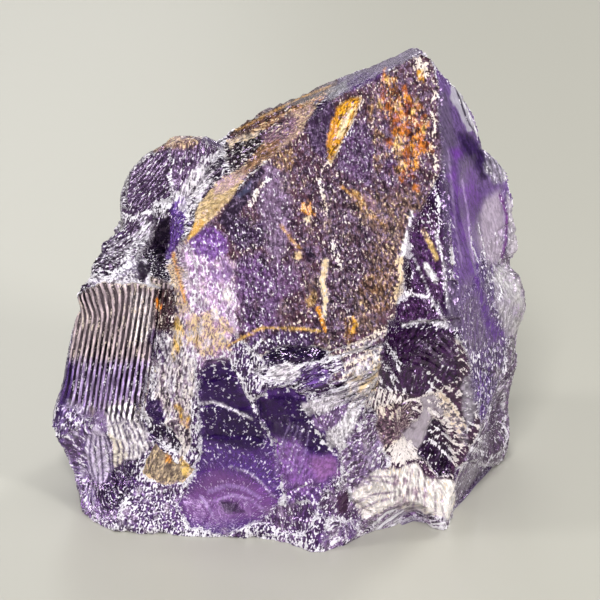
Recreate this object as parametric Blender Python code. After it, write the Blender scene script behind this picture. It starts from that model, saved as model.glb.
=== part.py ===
"""Rough amethyst: one broken piece of purple quartz, standing on its underside.

The stone is made the way it broke. A block is bounded by flat fractures, a lump is left
standing at its upper left, and the rest is struck off: the large flake at the front, the
wedges beside the ridge, the ribbed steps, the shell-shaped scoops with their ripples, and
the chips along the edges.

Sizes are millimetres until they reach a mesh, which is in metres. +X is the viewer's right,
+Y is away from the viewer and +Z is up. The origin lies under the middle of the stone, on
the surface that it stands on. A heading is the compass angle that a face looks towards,
0 along +X and 90 along +Y, and a lean is the angle that it looks up, both in degrees.
"""

import math
import random
from typing import NamedTuple

import bmesh
import bpy
from mathutils import Matrix, Vector

MM = 0.001
BLANK_SIZE = 90.0
UP = Vector((0.0, 0.0, 1.0))

AMETHYST_COLOUR = (0.22, 0.10, 0.42, 1.0)
AMETHYST_ROUGHNESS = 0.18

SPIN_STEPS = 28
PLAIN_RINGS = 8
RIPPLE_CROWDING = 0.85
RIM_WANDER = 0.07
LID_HEIGHT = 9.0
LID_FLARE = 1.25

CHIP_SEED = 11
CHIP_SPACING = 2.6
CHIP_REACH = (0.45, 0.95)
CHIP_CORNERS = 7
CHIP_MIN_EDGE = 4.0


class Fracture(NamedTuple):
    """A flat break, which passes through a point and looks along a heading and a lean."""

    through: tuple
    heading: float
    lean: float


class Ribs(NamedTuple):
    """A striated break: a floor of parallel ribs, rolled about the way it looks."""

    through: tuple
    heading: float
    lean: float
    roll: float
    across: tuple
    along: tuple
    pitch: float
    depth: float
    unevenness: float


class Scoop(NamedTuple):
    """A shell-shaped break: a dish around the point that was struck, with ripples round it.

    The ripples are strongest towards the fan angle, seen from outside, 90 being up. The dish
    is stretched sideways, and turned anticlockwise after that.
    """

    struck: tuple
    heading: float
    lean: float
    radius: float
    depth: float
    ripples: int
    relief: float
    fan: float = 90.0
    stretch: float = 1.0
    turn: float = 0.0


# The flat fractures that bound the whole stone.
BLOCK = {
    "underside": Fracture((0.0, 0.0, 0.0), 0, -90),
    "lower_centre": Fracture((-0.4, -12.8, 0.0), -99, 8),
    "lower_left": Fracture((-0.6, -12.7, 0.0), -111, 8),
    "lower_right": Fracture((13.7, -10.3, 13.7), -75, 3),
    "left_bulge": Fracture((-18.6, -4.3, 6.0), -125, 12),
    "left_foot": Fracture((-15.1, -7.5, 0.0), -150, -18),
    "left_undercut": Fracture((-17.0, -3.0, 0.3), 183, -16),
    "left_side": Fracture((-18.8, -2.0, 6.8), 182, 10),
    "left_back": Fracture((-13.5, 8.0, 8.0), 138, 10),
    "back": Fracture((0.0, 11.7, 4.0), 96, 14),
    "back_slope": Fracture((-1.0, 4.8, 31.0), 98, 35),
    "back_right": Fracture((13.5, 8.0, 8.0), 47, 12),
    "right_back_top": Fracture((14.3, 2.4, 30.5), 24, 32),
    "right": Fracture((11.9, -3.4, 32.6), -35, 20.5),
    "right_front": Fracture((14.2, -9.9, 7.4), -29, 4),
    "right_low": Fracture((18.7, 5.0, 12.8), -10, -3),
    "right_foot": Fracture((12.2, -9.2, 0.0), -25, -14),
    "left_slope": Fracture((-8.3, -4.9, 23.6), 194, 49.5),
    "blade": Fracture((-8.6, -4.9, 23.3), -131, 44),
    "crest": Fracture((7.7, 1.8, 36.0), 170, 62),
    "tip": Fracture((10.6, 0.4, 37.6), 60, 62),
}

# The lump at the upper left, by its corners.
LUMP = (
    (-13.4, 1.0, 18.5),
    (-13.6, 3.4, 22.4),
    (-12.9, 4.6, 25.0),
    (-11.2, 5.6, 26.9),
    (-8.3, 6.2, 27.6),
    (-5.4, 5.4, 27.5),
    (-5.6, 1.2, 25.0),
    (-9.0, -1.0, 22.4),
    (-12.0, -0.8, 19.6),
    (-12.4, 1.2, 24.6),
    (-10.6, 1.8, 27.6),
    (-7.2, 2.2, 28.8),
    (-11.0, 7.4, 20.5),
    (-7.0, 8.2, 22.5),
    (-4.0, 7.4, 20.0),
    (-12.0, 6.0, 14.0),
    (-4.0, 0.0, 20.0),
)

# A piece struck off filled all the space in front of its fractures. The flake leaves the
# broad frosted face. The wedges go down beside the ridge like stairs.
STRUCK_OFF = {
    "flake": (
        Fracture((10.1, -1.0, 36.8), -98.5, 26.3),
    ),
    "upper_wedge": (
        Fracture((12.4, -6.0, 27.4), -114, 24),
        Fracture((11.3, -5.4, 28.2), -20, -19),
        Fracture((9.2, -7.6, 23.0), -24, 4),
    ),
    "middle_wedge": (
        Fracture((13.0, -8.8, 21.3), -112, 24),
        Fracture((9.0, -7.6, 22.0), -24, 4),
        Fracture((12.0, -8.0, 21.3), -80, -60),
    ),
    "lower_wedge": (
        Fracture((12.8, -9.2, 18.5), -106, 12),
        Fracture((8.4, -8.6, 18.0), -26, 4),
        Fracture((12.0, -9.0, 18.5), -86, -58),
    ),
    "gap": (
        Fracture((-9.6, -1.2, 22.5), -124, 14),
        Fracture((-11.4, -2.0, 22.5), -24, 8),
        Fracture((-8.4, -4.0, 22.5), -172, -8),
        Fracture((-10.0, -3.0, 20.8), 250, 80),
    ),
    "ledge": (
        Fracture((-13.6, -3.6, 21.0), -100, 62),
        Fracture((-11.9, -3.4, 22.0), 190, 10),
    ),
    "back_flake": (
        Fracture((-2.0, 7.9, 14.0), 101, 8),
        Fracture((-2.0, 10.0, 9.4), 84, 60),
    ),
    "back_wedge": (
        Fracture((9.0, 10.0, 12.0), 60, 9),
        Fracture((4.4, 9.6, 12.0), 10, 30),
    ),
}

# The striated breaks: the step on the left, the hackly bench and the lump's front.
RIBBED = {
    "step": Ribs((-13.8, -4.8, 14.5), -121, 11, 0, (-6.0, 4.0), (-6.2, 7.0), 0.52, 0.36, 0.12),
    "hackle": Ribs((3.2, -11.3, 14.2), -98, 20, -64, (-2.4, 2.4), (-6.4, 6.6), 0.9, 0.9, 0.35),
    "lump_front": Ribs((-10.2, 0.4, 25.2), -130, 26, -26, (-3.4, 3.2), (-3.6, 4.4), 0.7, 0.26, 0.3),}

# The shell-shaped breaks.
SCOOPS = {
    "right_scoop": Scoop((11.2, -10.7, 8.4), -66, 4, 10.0, 3.0, 10, 0.32, 120, 0.62, 6),
    "foot_scoop": Scoop((9.3, -11.0, -1.4), -72, -10, 6.2, 2.6, 5, 0.2, 100),
    "cream_scoop": Scoop((6.4, -12.6, 2.2), -82, 2, 6.4, 1.3, 6, 0.18, 150, 0.7, 20),
    "shell": Scoop((-4.4, -11.3, 1.6), -110, 8, 12.0, 1.7, 9, 0.24, 84, 0.72, 12),
    "centre_shell": Scoop((1.4, -12.5, 5.6), -94, 8, 7.4, 0.9, 5, 0.12, 140, 0.56, 24),
    "left_shell": Scoop((-15.2, -7.6, 3.0), -126, 6, 7.0, 1.6, 8, 0.28, 80, 0.8),
    "left_foot_shell": Scoop((-9.6, -10.9, 0.6), -116, -4, 5.2, 1.2, 5, 0.16, 60),
    "right_hollow": Scoop((17.2, -2.6, 21.6), -30, 16, 11.0, 1.2, 0, 0.0, 90, 0.5, 16),
    "right_nick": Scoop((18.7, 3.6, 17.6), -8, 20, 3.0, 1.0, 3, 0.12),
    "upper_nick": Scoop((16.4, 1.6, 29.2), 6, 24, 2.4, 0.8, 3, 0.1),
    "right_dent": Scoop((16.9, -2.2, 6.4), -20, -6, 5.5, 1.0, 5, 0.18, 70, 0.8),
    "back_shell": Scoop((-3.0, 12.6, 1.0), 98, 10, 13.0, 2.4, 9, 0.26, 90, 0.9),
    "back_upper_shell": Scoop((-5.0, 7.6, 12.6), 101, 8, 12.0, 1.0, 7, 0.2, 60, 0.8, 30),
    "back_scoop": Scoop((8.0, 8.0, 26.0), 76, 24, 9.0, 1.9, 7, 0.22, 250, 0.8, 20),
    "left_scoop": Scoop((-17.2, 4.6, 4.0), 165, 6, 8.0, 1.6, 7, 0.22, 90),
    "left_high": Scoop((-15.0, 2.0, 15.0), 176, 24, 5.6, 0.9, 5, 0.16, 270, 0.8),
}

# The ridge between the broad face and the right side, from the apex to the foot.
RIDGE = (
    (11.6, -1.6, 36.2),
    (12.4, -6.0, 27.4),
    (13.1, -9.6, 20.5),
    (13.7, -10.3, 13.7),
    (14.1, -9.9, 7.4),
    (12.2, -9.2, 0.3),
)


def aim(heading, lean):
    """The unit vector that a heading and a lean, in degrees, point along."""
    turn = math.radians(heading)
    rise = math.radians(lean)
    level = math.cos(rise)
    return Vector((level * math.cos(turn), level * math.sin(turn), math.sin(rise)))


def stand_on(face, roll=0.0):
    """The matrix that puts local Z along the way a face looks, with local Y upwards."""
    upright = aim(face.heading, face.lean).to_track_quat("Z", "Y").to_matrix().to_4x4()
    return Matrix.Translation(face[0]) @ upright @ Matrix.Rotation(math.radians(roll), 4, "Z")


def new_object(name, mesh_maker):
    """An object of a mesh that mesh_maker fills in millimetres, scaled to metres."""
    made = bmesh.new()
    mesh_maker(made)
    bmesh.ops.recalc_face_normals(made, faces=made.faces)
    bmesh.ops.scale(made, vec=(MM, MM, MM), verts=made.verts)
    mesh = bpy.data.meshes.new(name)
    made.to_mesh(mesh)
    made.free()
    thing = bpy.data.objects.new(name, mesh)
    bpy.context.scene.collection.objects.link(thing)
    return thing


def split(made, fracture, keep_behind=True):
    """Cuts the mesh along a fracture and closes the cut with one flat face."""
    outward = aim(fracture.heading, fracture.lean)
    if not keep_behind:
        outward.negate()
    whole = made.verts[:] + made.edges[:] + made.faces[:]
    cut = bmesh.ops.bisect_plane(
        made, geom=whole, plane_co=fracture.through, plane_no=outward, clear_outer=True
    )
    rim = [part for part in cut["geom_cut"] if isinstance(part, bmesh.types.BMEdge)]
    if rim:
        bmesh.ops.contextual_create(made, geom=rim)


def block(made):
    """The whole stone's block: a blank, split along every flat fracture."""
    bmesh.ops.create_cube(made, size=BLANK_SIZE)
    for fracture in BLOCK.values():
        split(made, fracture)


def lump(made):
    """The lump is the smallest convex solid around its corners."""
    for corner in LUMP:
        made.verts.new(corner)
    bmesh.ops.convex_hull(made, input=made.verts)


def struck_piece(fractures):
    """A function that fills a mesh with all the space in front of the fractures."""

    def fill(made):
        bmesh.ops.create_cube(made, size=BLANK_SIZE)
        for fracture in fractures:
            split(made, fracture, keep_behind=False)

    return fill


def ribbed_piece(ribs, dice):
    """A function that fills a mesh with a slab whose floor is a row of ribs.

    The floor is a zigzag across, drawn out along the ribs.
    """

    def fill(made):
        outline = []
        side = ribs.across[0]
        deep = False
        while side < ribs.across[1]:
            spread = dice.uniform(1.0 - ribs.unevenness, 1.0 + ribs.unevenness)
            outline.append((side, -ribs.depth * spread if deep else 0.0))
            side += ribs.pitch / 2 * spread
            deep = not deep
        outline.append((outline[-1][0], LID_HEIGHT))
        outline.append((outline[0][0], LID_HEIGHT))
        low, high = ribs.along
        floor = made.faces.new([made.verts.new((side, low, deep)) for side, deep in outline])
        grown = bmesh.ops.extrude_face_region(made, geom=[floor])
        lifted = [part for part in grown["geom"] if isinstance(part, bmesh.types.BMVert)]
        bmesh.ops.translate(made, vec=(0.0, high - low, 0.0), verts=lifted)
        bmesh.ops.transform(made, matrix=stand_on(ribs, ribs.roll), verts=made.verts)

    return fill


def dish_ring(made, scoop, share, crest):
    """One ring of corners of the dish, a share of the way from its middle to its rim.

    The floor is a parabola. A crest fades with the angle from the fan, and the ring wanders
    in and out twice as it goes round, so that no ripple is a true circle.
    """
    ring = []
    for step in range(SPIN_STEPS):
        angle = 2 * math.pi * step / SPIN_STEPS
        wander = 1.0 + RIM_WANDER * math.sin(2 * angle + scoop.radius)
        fan = 0.5 + 0.5 * math.cos(angle - math.radians(scoop.fan))
        reach = scoop.radius * share * wander
        height = scoop.depth * (share**2 - 1.0) + crest * fan
        ring.append(made.verts.new((reach * math.cos(angle), reach * math.sin(angle), height)))
    return ring


def scoop_piece(scoop):
    """A function that fills a mesh with the scoop's dish, from its floor up to a flat lid."""

    def fill(made):
        count = 2 * scoop.ripples or PLAIN_RINGS
        rings = []
        for step in range(1, count + 1):
            share = (step / count) ** RIPPLE_CROWDING
            rings.append(dish_ring(made, scoop, share, scoop.relief * (step % 2)))
        middle = made.verts.new((0.0, 0.0, -scoop.depth))
        lid = []
        for corner in rings[-1]:
            lid.append(made.verts.new((corner.co.x * LID_FLARE, corner.co.y * LID_FLARE, LID_HEIGHT)))
        rings.append(lid)
        for step in range(SPIN_STEPS):
            after = (step + 1) % SPIN_STEPS
            made.faces.new((middle, rings[0][step], rings[0][after]))
            for inner, outer in zip(rings, rings[1:]):
                made.faces.new((inner[step], outer[step], outer[after], inner[after]))
        made.faces.new(lid)
        shape = Matrix.Diagonal((scoop.stretch, 1.0, 1.0, 1.0))
        bmesh.ops.transform(made, matrix=stand_on(scoop, scoop.turn) @ shape, verts=made.verts)

    return fill


def block_edges():
    """The two ends of every long edge of the block, apart from those at the underside."""
    made = bmesh.new()
    block(made)
    ends = []
    for edge in made.edges:
        start, end = [corner.co.copy() for corner in edge.verts]
        if edge.calc_length() > CHIP_MIN_EDGE and max(start.z, end.z) > 1.0:
            ends.append((start, end))
    made.free()
    return sorted(ends, key=lambda pair: tuple(pair[0]) + tuple(pair[1]))


def chip_places(dice):
    """Points at uneven spacings along the block's edges and the ridge, well apart."""
    ridge = [Vector(corner) for corner in RIDGE]
    places = []
    for start, end in block_edges() + list(zip(ridge, ridge[1:])):
        steps = int((end - start).length / CHIP_SPACING)
        for step in range(steps):
            place = start.lerp(end, (step + dice.uniform(0.25, 0.75)) / steps)
            if all((place - other).length > 2.2 * CHIP_REACH[1] for other in places):
                places.append(place)
    return places


def chips(made):
    """A small rough solid at every chip's place: the hull of corners thrown round it."""
    dice = random.Random(CHIP_SEED)
    for place in chip_places(dice):
        reach = dice.uniform(*CHIP_REACH)
        corners = []
        for _ in range(CHIP_CORNERS):
            way = Vector([dice.gauss(0.0, 1.0) for _ in range(3)]).normalized()
            corners.append(made.verts.new(place + way * reach))
        hull = bmesh.ops.convex_hull(made, input=corners)
        inside = [part for part in hull["geom_interior"] if isinstance(part, bmesh.types.BMVert)]
        bmesh.ops.delete(made, geom=inside, context="VERTS")


def carve(stone, tool, operation="DIFFERENCE"):
    """Adds a Boolean to the stone, and hides its tool from the render."""
    tool.hide_render = True
    tool.display_type = "WIRE"
    cut = stone.modifiers.new(tool.name, "BOOLEAN")
    cut.object = tool
    cut.operation = operation
    cut.solver = "EXACT"


def quartz_material():
    """Purple quartz, as a plain surface colour."""
    material = bpy.data.materials.new("amethyst")
    material.use_nodes = True
    shader = material.node_tree.nodes["Principled BSDF"]
    shader.inputs["Base Color"].default_value = AMETHYST_COLOUR
    shader.inputs["Roughness"].default_value = AMETHYST_ROUGHNESS
    shader.inputs["Metallic"].default_value = 0.0
    return material


def clear_scene():
    for thing in list(bpy.data.objects):
        bpy.data.objects.remove(thing)


def main():
    clear_scene()
    dice = random.Random(CHIP_SEED)
    stone = new_object("amethyst", block)
    stone.data.materials.append(quartz_material())
    carve(stone, new_object("lump", lump), "UNION")
    for name, fractures in STRUCK_OFF.items():
        carve(stone, new_object(name, struck_piece(fractures)))
    for name, ribs in RIBBED.items():
        carve(stone, new_object(name, ribbed_piece(ribs, dice)))
    for name, scoop in SCOOPS.items():
        carve(stone, new_object(name, scoop_piece(scoop)))
    carve(stone, new_object("chips", chips))


main()
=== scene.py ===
# %% [markdown]
# # A rough amethyst
# This notebook dresses one broken piece of purple quartz. Quartz has no cleavage, so it breaks
# like thick glass: flat fractures, shell-shaped scoops with ripples, ribbed steps, and white
# bruises wherever two breaks meet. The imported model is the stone's plain solid. Here it gets the
# surface that the eye reads at arm's length, and the clear, frosted and stained quartz.

# %% The frame
import math
from itertools import product
from typing import NamedTuple

import bpy
import numpy as np
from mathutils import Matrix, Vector


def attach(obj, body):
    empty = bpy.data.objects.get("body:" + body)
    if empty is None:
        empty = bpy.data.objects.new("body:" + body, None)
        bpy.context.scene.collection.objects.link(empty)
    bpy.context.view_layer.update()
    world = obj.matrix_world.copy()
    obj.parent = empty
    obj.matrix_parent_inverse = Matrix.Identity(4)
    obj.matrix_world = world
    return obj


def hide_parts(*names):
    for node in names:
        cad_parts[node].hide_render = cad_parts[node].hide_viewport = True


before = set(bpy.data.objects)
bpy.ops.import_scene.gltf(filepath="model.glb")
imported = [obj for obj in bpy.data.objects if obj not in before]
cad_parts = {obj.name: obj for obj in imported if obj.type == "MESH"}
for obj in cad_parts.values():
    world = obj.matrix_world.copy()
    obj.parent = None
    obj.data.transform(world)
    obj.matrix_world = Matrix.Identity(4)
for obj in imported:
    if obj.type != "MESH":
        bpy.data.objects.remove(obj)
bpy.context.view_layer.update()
MM = 0.001

# %% [markdown]
# ## Where the eye is
# The stone is seen from the front, a little from above. The same view serves as a drawing board
# of 600 by 600 steps, 12.5 to the millimetre, counted from the top left corner. A stain or a spall
# is outlined on it as a row of corners "across,down across,down ...".

# %% The camera's place
CAMERA_TARGET = np.array([0.92, -3.0, 17.4])
CAMERA_RISE = math.radians(25)
CAMERA_DISTANCE = 260.0
SIGHT = np.array([0.0, math.cos(CAMERA_RISE), -math.sin(CAMERA_RISE)])
SIGHT_UP = np.array([0.0, math.sin(CAMERA_RISE), math.cos(CAMERA_RISE)])
CAMERA_PLACE = CAMERA_TARGET - SIGHT * CAMERA_DISTANCE
BOARD_MIDDLE = 300.0
STEPS_PER_MM = 12.5
print("the eye is at", CAMERA_PLACE.round(1), "mm")


def front_view(points):
    """Across and down on the drawing board: the offset from the eye, times the board's distance
    over the point's own depth, in steps from the corner."""
    seen = points - CAMERA_PLACE
    scale = CAMERA_DISTANCE / (seen @ SIGHT) * STEPS_PER_MM
    return BOARD_MIDDLE + seen[:, 0] * scale, BOARD_MIDDLE - seen @ SIGHT_UP * scale


def corners(outline):
    """The corners of an outline as an array, one row for each."""
    return np.array([pair.split(",") for pair in outline.split()], dtype=float)


# %% [markdown]
# ## The breaks
# Every break is placed by a point on it, in millimetres, and by the way that it looks: a compass
# heading in degrees, 0 towards +X and 90 towards +Y, and a lean, which is how far it looks up.
# These are the stone's own driving dimensions, so the dressed surface follows the solid.

# %% The flat fractures round the stone


class Fracture(NamedTuple):
    """A flat break, which passes through a point and looks along a heading and a lean."""

    through: tuple
    heading: float
    lean: float


BLOCK = {
    "underside": Fracture((0.0, 0.0, 0.0), 0, -90),
    "main_face": Fracture((10.1, -1.0, 36.8), -98.5, 26.3),
    "lower_centre": Fracture((-0.4, -12.8, 0.0), -99, 8),
    "lower_left": Fracture((-0.6, -12.7, 0.0), -111, 8),
    "lower_right": Fracture((13.7, -10.3, 13.7), -75, 3),
    "left_bulge": Fracture((-18.6, -4.3, 6.0), -125, 12),
    "left_foot": Fracture((-15.1, -7.5, 0.0), -150, -18),
    "left_undercut": Fracture((-17.0, -3.0, 0.3), 183, -16),
    "left_side": Fracture((-18.8, -2.0, 6.8), 182, 10),
    "left_back": Fracture((-13.5, 8.0, 8.0), 138, 10),
    "back": Fracture((0.0, 11.7, 4.0), 96, 14),
    "back_slope": Fracture((-1.0, 4.8, 31.0), 98, 35),
    "back_right": Fracture((13.5, 8.0, 8.0), 47, 12),
    "right_back_top": Fracture((14.3, 2.4, 30.5), 24, 32),
    "right": Fracture((11.9, -3.4, 32.6), -35, 20.5),
    "right_front": Fracture((14.2, -9.9, 7.4), -29, 4),
    "right_low": Fracture((18.7, 5.0, 12.8), -10, -3),
    "right_foot": Fracture((12.2, -9.2, 0.0), -25, -14),
    "left_slope": Fracture((-8.3, -4.9, 23.6), 194, 49.5),
    "blade": Fracture((-8.6, -4.9, 23.3), -131, 44),
    "crest": Fracture((7.7, 1.8, 36.0), 170, 62),
    "tip": Fracture((10.6, 0.4, 37.6), 60, 62),
}
print(len(BLOCK), "flat fractures bound the block")

# %% How a break looks in the world
TINY = 1e-6


def aim(heading, lean):
    """The unit vector along a heading and a lean: level part times cosine and sine, and the rise."""
    turn, rise = math.radians(heading), math.radians(lean)
    level = math.cos(rise)
    return np.array([level * math.cos(turn), level * math.sin(turn), math.sin(rise)])


def axes(outward, roll=0.0):
    """Rows across, up and outward: up is the world's up laid flat on the break, and across is to
    the right of someone who looks at it. Roll turns the first two anticlockwise."""
    up = np.array([0.0, 0.0, 1.0]) - outward[2] * outward
    if np.linalg.norm(up) < TINY:
        up = np.array([0.0, 1.0, 0.0])
    up = up / np.linalg.norm(up)
    across = np.cross(up, outward)
    turn = math.radians(roll)
    rolled = math.cos(turn) * across + math.sin(turn) * up
    risen = math.cos(turn) * up - math.sin(turn) * across
    return np.array([rolled, risen, outward])


# %% [markdown]
# ## A closed surface on a grid
# The stone is seen from all sides, so its grid has to close. A cube's surface is cut into square
# cells and blown up to a sphere of directions: unlike a globe's grid it has no poles where the
# cells get thin. The front is looked at most, so the directions are drawn together there.

# %% The grid of directions
GRID = 330
FRONT_CROWDING = 0.42


def cube_grid(count):
    """Directions and quads of a cube's surface: for each side, all pairs of two even steps from
    -45 to 45 degrees, whose tangents are the two free coordinates, and 1 is the third. All the
    directions are then shifted to the front and made unit length again, which crowds them."""
    step = np.arange(count + 1)
    first, second = [part.ravel() for part in np.meshgrid(step, step, indexing="ij")]
    cell = np.arange(count)
    corner = (cell[:, None] * (count + 1) + cell[None, :]).ravel()
    ring = np.stack([corner, corner + count + 1, corner + count + 2, corner + 1], axis=1)
    lattice, quads = [], []
    for axis, side in product(range(3), (0, count)):
        place = np.empty((first.size, 3), dtype=np.int64)
        place[:, axis] = side
        place[:, (axis + 1) % 3] = first
        place[:, (axis + 2) % 3] = second
        quads.append((ring if side else ring[:, ::-1]) + first.size * len(lattice))
        lattice.append(place)
    lattice = np.concatenate(lattice)
    key = lattice @ np.array([1, count + 1, (count + 1) ** 2])
    _, kept, home = np.unique(key, return_index=True, return_inverse=True)
    directions = np.tan((lattice[kept] / count * 2.0 - 1.0) * math.pi / 4)
    directions /= np.linalg.norm(directions, axis=1, keepdims=True)
    directions = directions - FRONT_CROWDING * SIGHT
    directions /= np.linalg.norm(directions, axis=1, keepdims=True)
    return directions, home.ravel()[np.concatenate(quads)]


directions, quads = cube_grid(GRID)
print(len(directions), "grid points and", len(quads), "cells")

# %% [markdown]
# ## The block
# From a point inside the stone, each direction leaves it through the nearest flat fracture. The
# distance to a plane along a direction is the distance to it straight on, divided by how squarely
# the direction meets it. The smallest such distance is the surface, and the fracture that gives
# it is remembered, because each has its own finish.

# %% The skin of the stone
MIDDLE = np.array([0.0, 0.0, 13.0])
FACETS = list(BLOCK)
GRAZING = 1e-4
NEVER = 1e6


class Skin:
    """The surface as whole arrays, one row for each grid point: its place, the number of its
    break, the way that it looks, the distance to the nearest edge, the count of ripples up to it,
    how strongly they are striped and how white their crests are, and its place along the grain."""

    def __init__(self, points, home, outward, edge):
        self.points, self.home, self.outward, self.edge = points, home, outward, edge
        self.phase = np.zeros(len(points))
        self.line = np.zeros(len(points))
        self.crest = np.zeros(len(points))
        self.grain = np.full((len(points), 3), np.nan)


def planes_of(fractures, start=0.0):
    """The way that each flat break looks, and how far it is from a start, straight on."""
    looks = np.array([aim(f.heading, f.lean) for f in fractures.values()])
    places = [np.array(f.through) - start for f in fractures.values()]
    return looks, np.array([look @ place for look, place in zip(looks, places)])


def exits(rays, start, fractures):
    """The distances along unit rays from a start to each flat break, one column for each."""
    looks, square_on = planes_of(fractures, start)
    meets = rays @ looks.T
    return np.where(meets > GRAZING, square_on / np.maximum(meets, GRAZING), NEVER), looks


def edge_distance(points, home, fractures):
    """How far each point is from its facet's nearest edge, in mm: the height under the other
    plane, divided by the sine of the angle between the two planes."""
    looks, levels = planes_of(fractures)
    nearest = np.full(len(points), NEVER)
    for number, (look, level) in enumerate(zip(looks, levels)):
        sine = np.sqrt(np.maximum(1.0 - (looks @ look) ** 2, GRAZING))[home]
        away = (level - points @ look) / sine
        nearest = np.where(home == number, nearest, np.minimum(nearest, away))
    return nearest


reach, looks = exits(directions, MIDDLE, BLOCK)
home = reach.argmin(axis=1)
points = MIDDLE + directions * reach.min(axis=1)[:, None]
skin = Skin(points, home, looks[home], edge_distance(points, home, BLOCK))
print("the block spans", points.min(axis=0).round(1), "to", points.max(axis=0).round(1), "mm")

# %% [markdown]
# ## Natural unevenness
# Stone is never even, so nearly every shape below is disturbed by a random field. It is made from
# random values on the corners of a lattice, blended smoothly in between. The lattice spacing is
# the size of the lumps in millimetres, and a field stretched along one axis gives a grain.

# %% A random field
AXIS_HASH = (73856093, 19349663, 83492791)
SEED_HASH = 2654435
STIR = 1274126177
LARGEST = 0xFFFFFF
SEED_SHIFT = 7.31


def field(points, size, seed):
    """A smooth random field from -1 to 1. The corners of a cube lattice, size mm apart, get a
    value from a hash of their whole numbers, and each cell blends its eight corners by the
    S-curve 3t^2 - 2t^3 along each axis."""
    cell = points / size + SEED_SHIFT * seed
    base = np.floor(cell).astype(np.int64)
    part = (cell - base).astype(np.float32)
    blend = part * part * (3.0 - 2.0 * part)
    total = np.zeros(len(points), dtype=np.float32)
    for corner in product((0, 1), repeat=3):
        spot = base + np.array(corner)
        mixed = seed * SEED_HASH
        for axis, factor in enumerate(AXIS_HASH):
            mixed = mixed ^ (spot[:, axis] * factor)
        mixed = ((mixed ^ (mixed >> 13)) * STIR) & LARGEST
        weight = np.where(np.array(corner, dtype=bool), blend, 1.0 - blend).prod(axis=1)
        total += weight * (mixed / (LARGEST / 2) - 1.0).astype(np.float32)
    return total


def rough(points, size, seed, octaves=3):
    """Several fields added, each half the size and half the strength of the one before."""
    return sum(field(points, size / 2**k, seed + k) / 2**k for k in range(octaves))


def spread(*parts):
    """Columns side by side, as places for a random field."""
    return np.stack(np.broadcast_arrays(*parts), axis=-1).astype(float)


def ramp(value, low, high):
    """From 0 at low to 1 at high, along the S-curve."""
    part = np.clip((value - low) / (high - low), 0.0, 1.0)
    return part * part * (3.0 - 2.0 * part)


# %% [markdown]
# ## Growing the lump
# The lump at the upper left was left standing by the breaks round it. It is a convex body, so
# the same rule as for the block gives its reach along each direction, and the stone's surface is
# whichever of the two lies further out. Two inner planes close it inside the block.

# %% The lump at the upper left
LUMP_MIDDLE = np.array([-9.0, 3.2, 21.5])
LUMP = {
    "lump_front": Fracture((-10.2, 0.2, 25.2), -130, 27),
    "lump_right": Fracture((-8.0, 0.8, 26.0), -62, 30),
    "lump_left": Fracture((-13.4, 2.6, 22.0), 178, 14),
    "lump_crown_left": Fracture((-12.2, 3.0, 25.9), 160, 42),
    "lump_crown": Fracture((-8.6, 4.0, 28.4), 120, 80),
    "lump_fall": Fracture((-5.6, 4.0, 27.9), 20, 62),
    "lump_back": Fracture((-9.0, 7.3, 22.0), 104, 22),
    "lump_under": Fracture((-12.8, -0.4, 18.0), -145, -34),
    "lump_root": Fracture((-5.4, 3.0, 22.0), 0, -10),
    "lump_seat": Fracture((-9.0, 3.0, 15.0), 0, -90),
}
SEAM_WIDTH = 0.2
SEAM_SLOPE = 0.4


def grow(skin, start, fractures):
    """Moves out the points whose ray from the start leaves the new body further out. Next to the
    new body, the edge distance of the old skin starts at the seam's width and grows with the gap
    between the two."""
    rays = skin.points - start
    length = np.linalg.norm(rays, axis=1)
    reach, looks = exits(rays / length[:, None], start, fractures)
    nearest = reach.min(axis=1)
    second = np.partition(reach, 1, axis=1)[:, 1]
    further = nearest > length
    new_home = reach.argmin(axis=1)
    grown = start + rays * (nearest / length)[:, None]
    beside = SEAM_SLOPE * (length - nearest) + SEAM_WIDTH
    skin.edge = np.where(further, second - nearest, np.minimum(skin.edge, beside))
    skin.points = np.where(further[:, None], grown, skin.points)
    skin.outward = np.where(further[:, None], looks[new_home], skin.outward)
    skin.home = np.where(further, len(FACETS) + new_home, skin.home)
    FACETS.extend(fractures)
    return int(further.sum())


print("the lump takes", grow(skin, LUMP_MIDDLE, LUMP), "points")

# %% [markdown]
# ## Carving a break
# A break is carved by pressing the grid down. Seen along the way that the break looks, its floor
# is a height over a plane, and every grid point that stands higher is lowered on to it. What stood
# only a little higher or lower is the rim, and rims get bruised white.

# %% Pressing the grid down
RIM_REACH = 0.25


def press(skin, name, through, outward, floor, roll=0.0, rim_width=0.14, marked=True):
    """Lowers the points that stand over the floor. The floor is a function of the local across
    and up, and gives the height, the phase of its ripples, how strongly they are striped and how
    white their crests are, and its grain. The distance to the rim is judged from the height to
    spare. A break that isn't marked only lowers the points, and they stay what they were."""
    local = axes(outward, roll)
    across, up, out = ((skin.points - np.array(through)) @ local.T).T
    height, phase, line, crest, grain = floor(across, up)
    spare = out - height
    cut = spare > 0.0
    skin.points = skin.points - np.maximum(spare, 0.0)[:, None] * outward
    if not marked:
        return
    FACETS.append(name)
    rim = np.abs(spare) / rim_width * RIM_REACH
    skin.home = np.where(cut, len(FACETS) - 1, skin.home)
    skin.outward = np.where(cut[:, None], outward, skin.outward)
    skin.edge = np.where(cut, rim, np.minimum(skin.edge, rim))
    skin.phase = np.where(cut, phase, skin.phase)
    skin.line = np.where(cut, line, skin.line)
    skin.crest = np.where(cut, crest, skin.crest)
    skin.grain = np.where(cut[:, None], grain, skin.grain)


# %% [markdown]
# ## The wedges beside the ridge
# Three pieces came off one under the other, left of the main ridge, and left a dark triangle with
# two crossing ledges. Each is bounded by a floor and one or two walls, so its height is the
# largest of the planes' heights over the floor.

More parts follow.
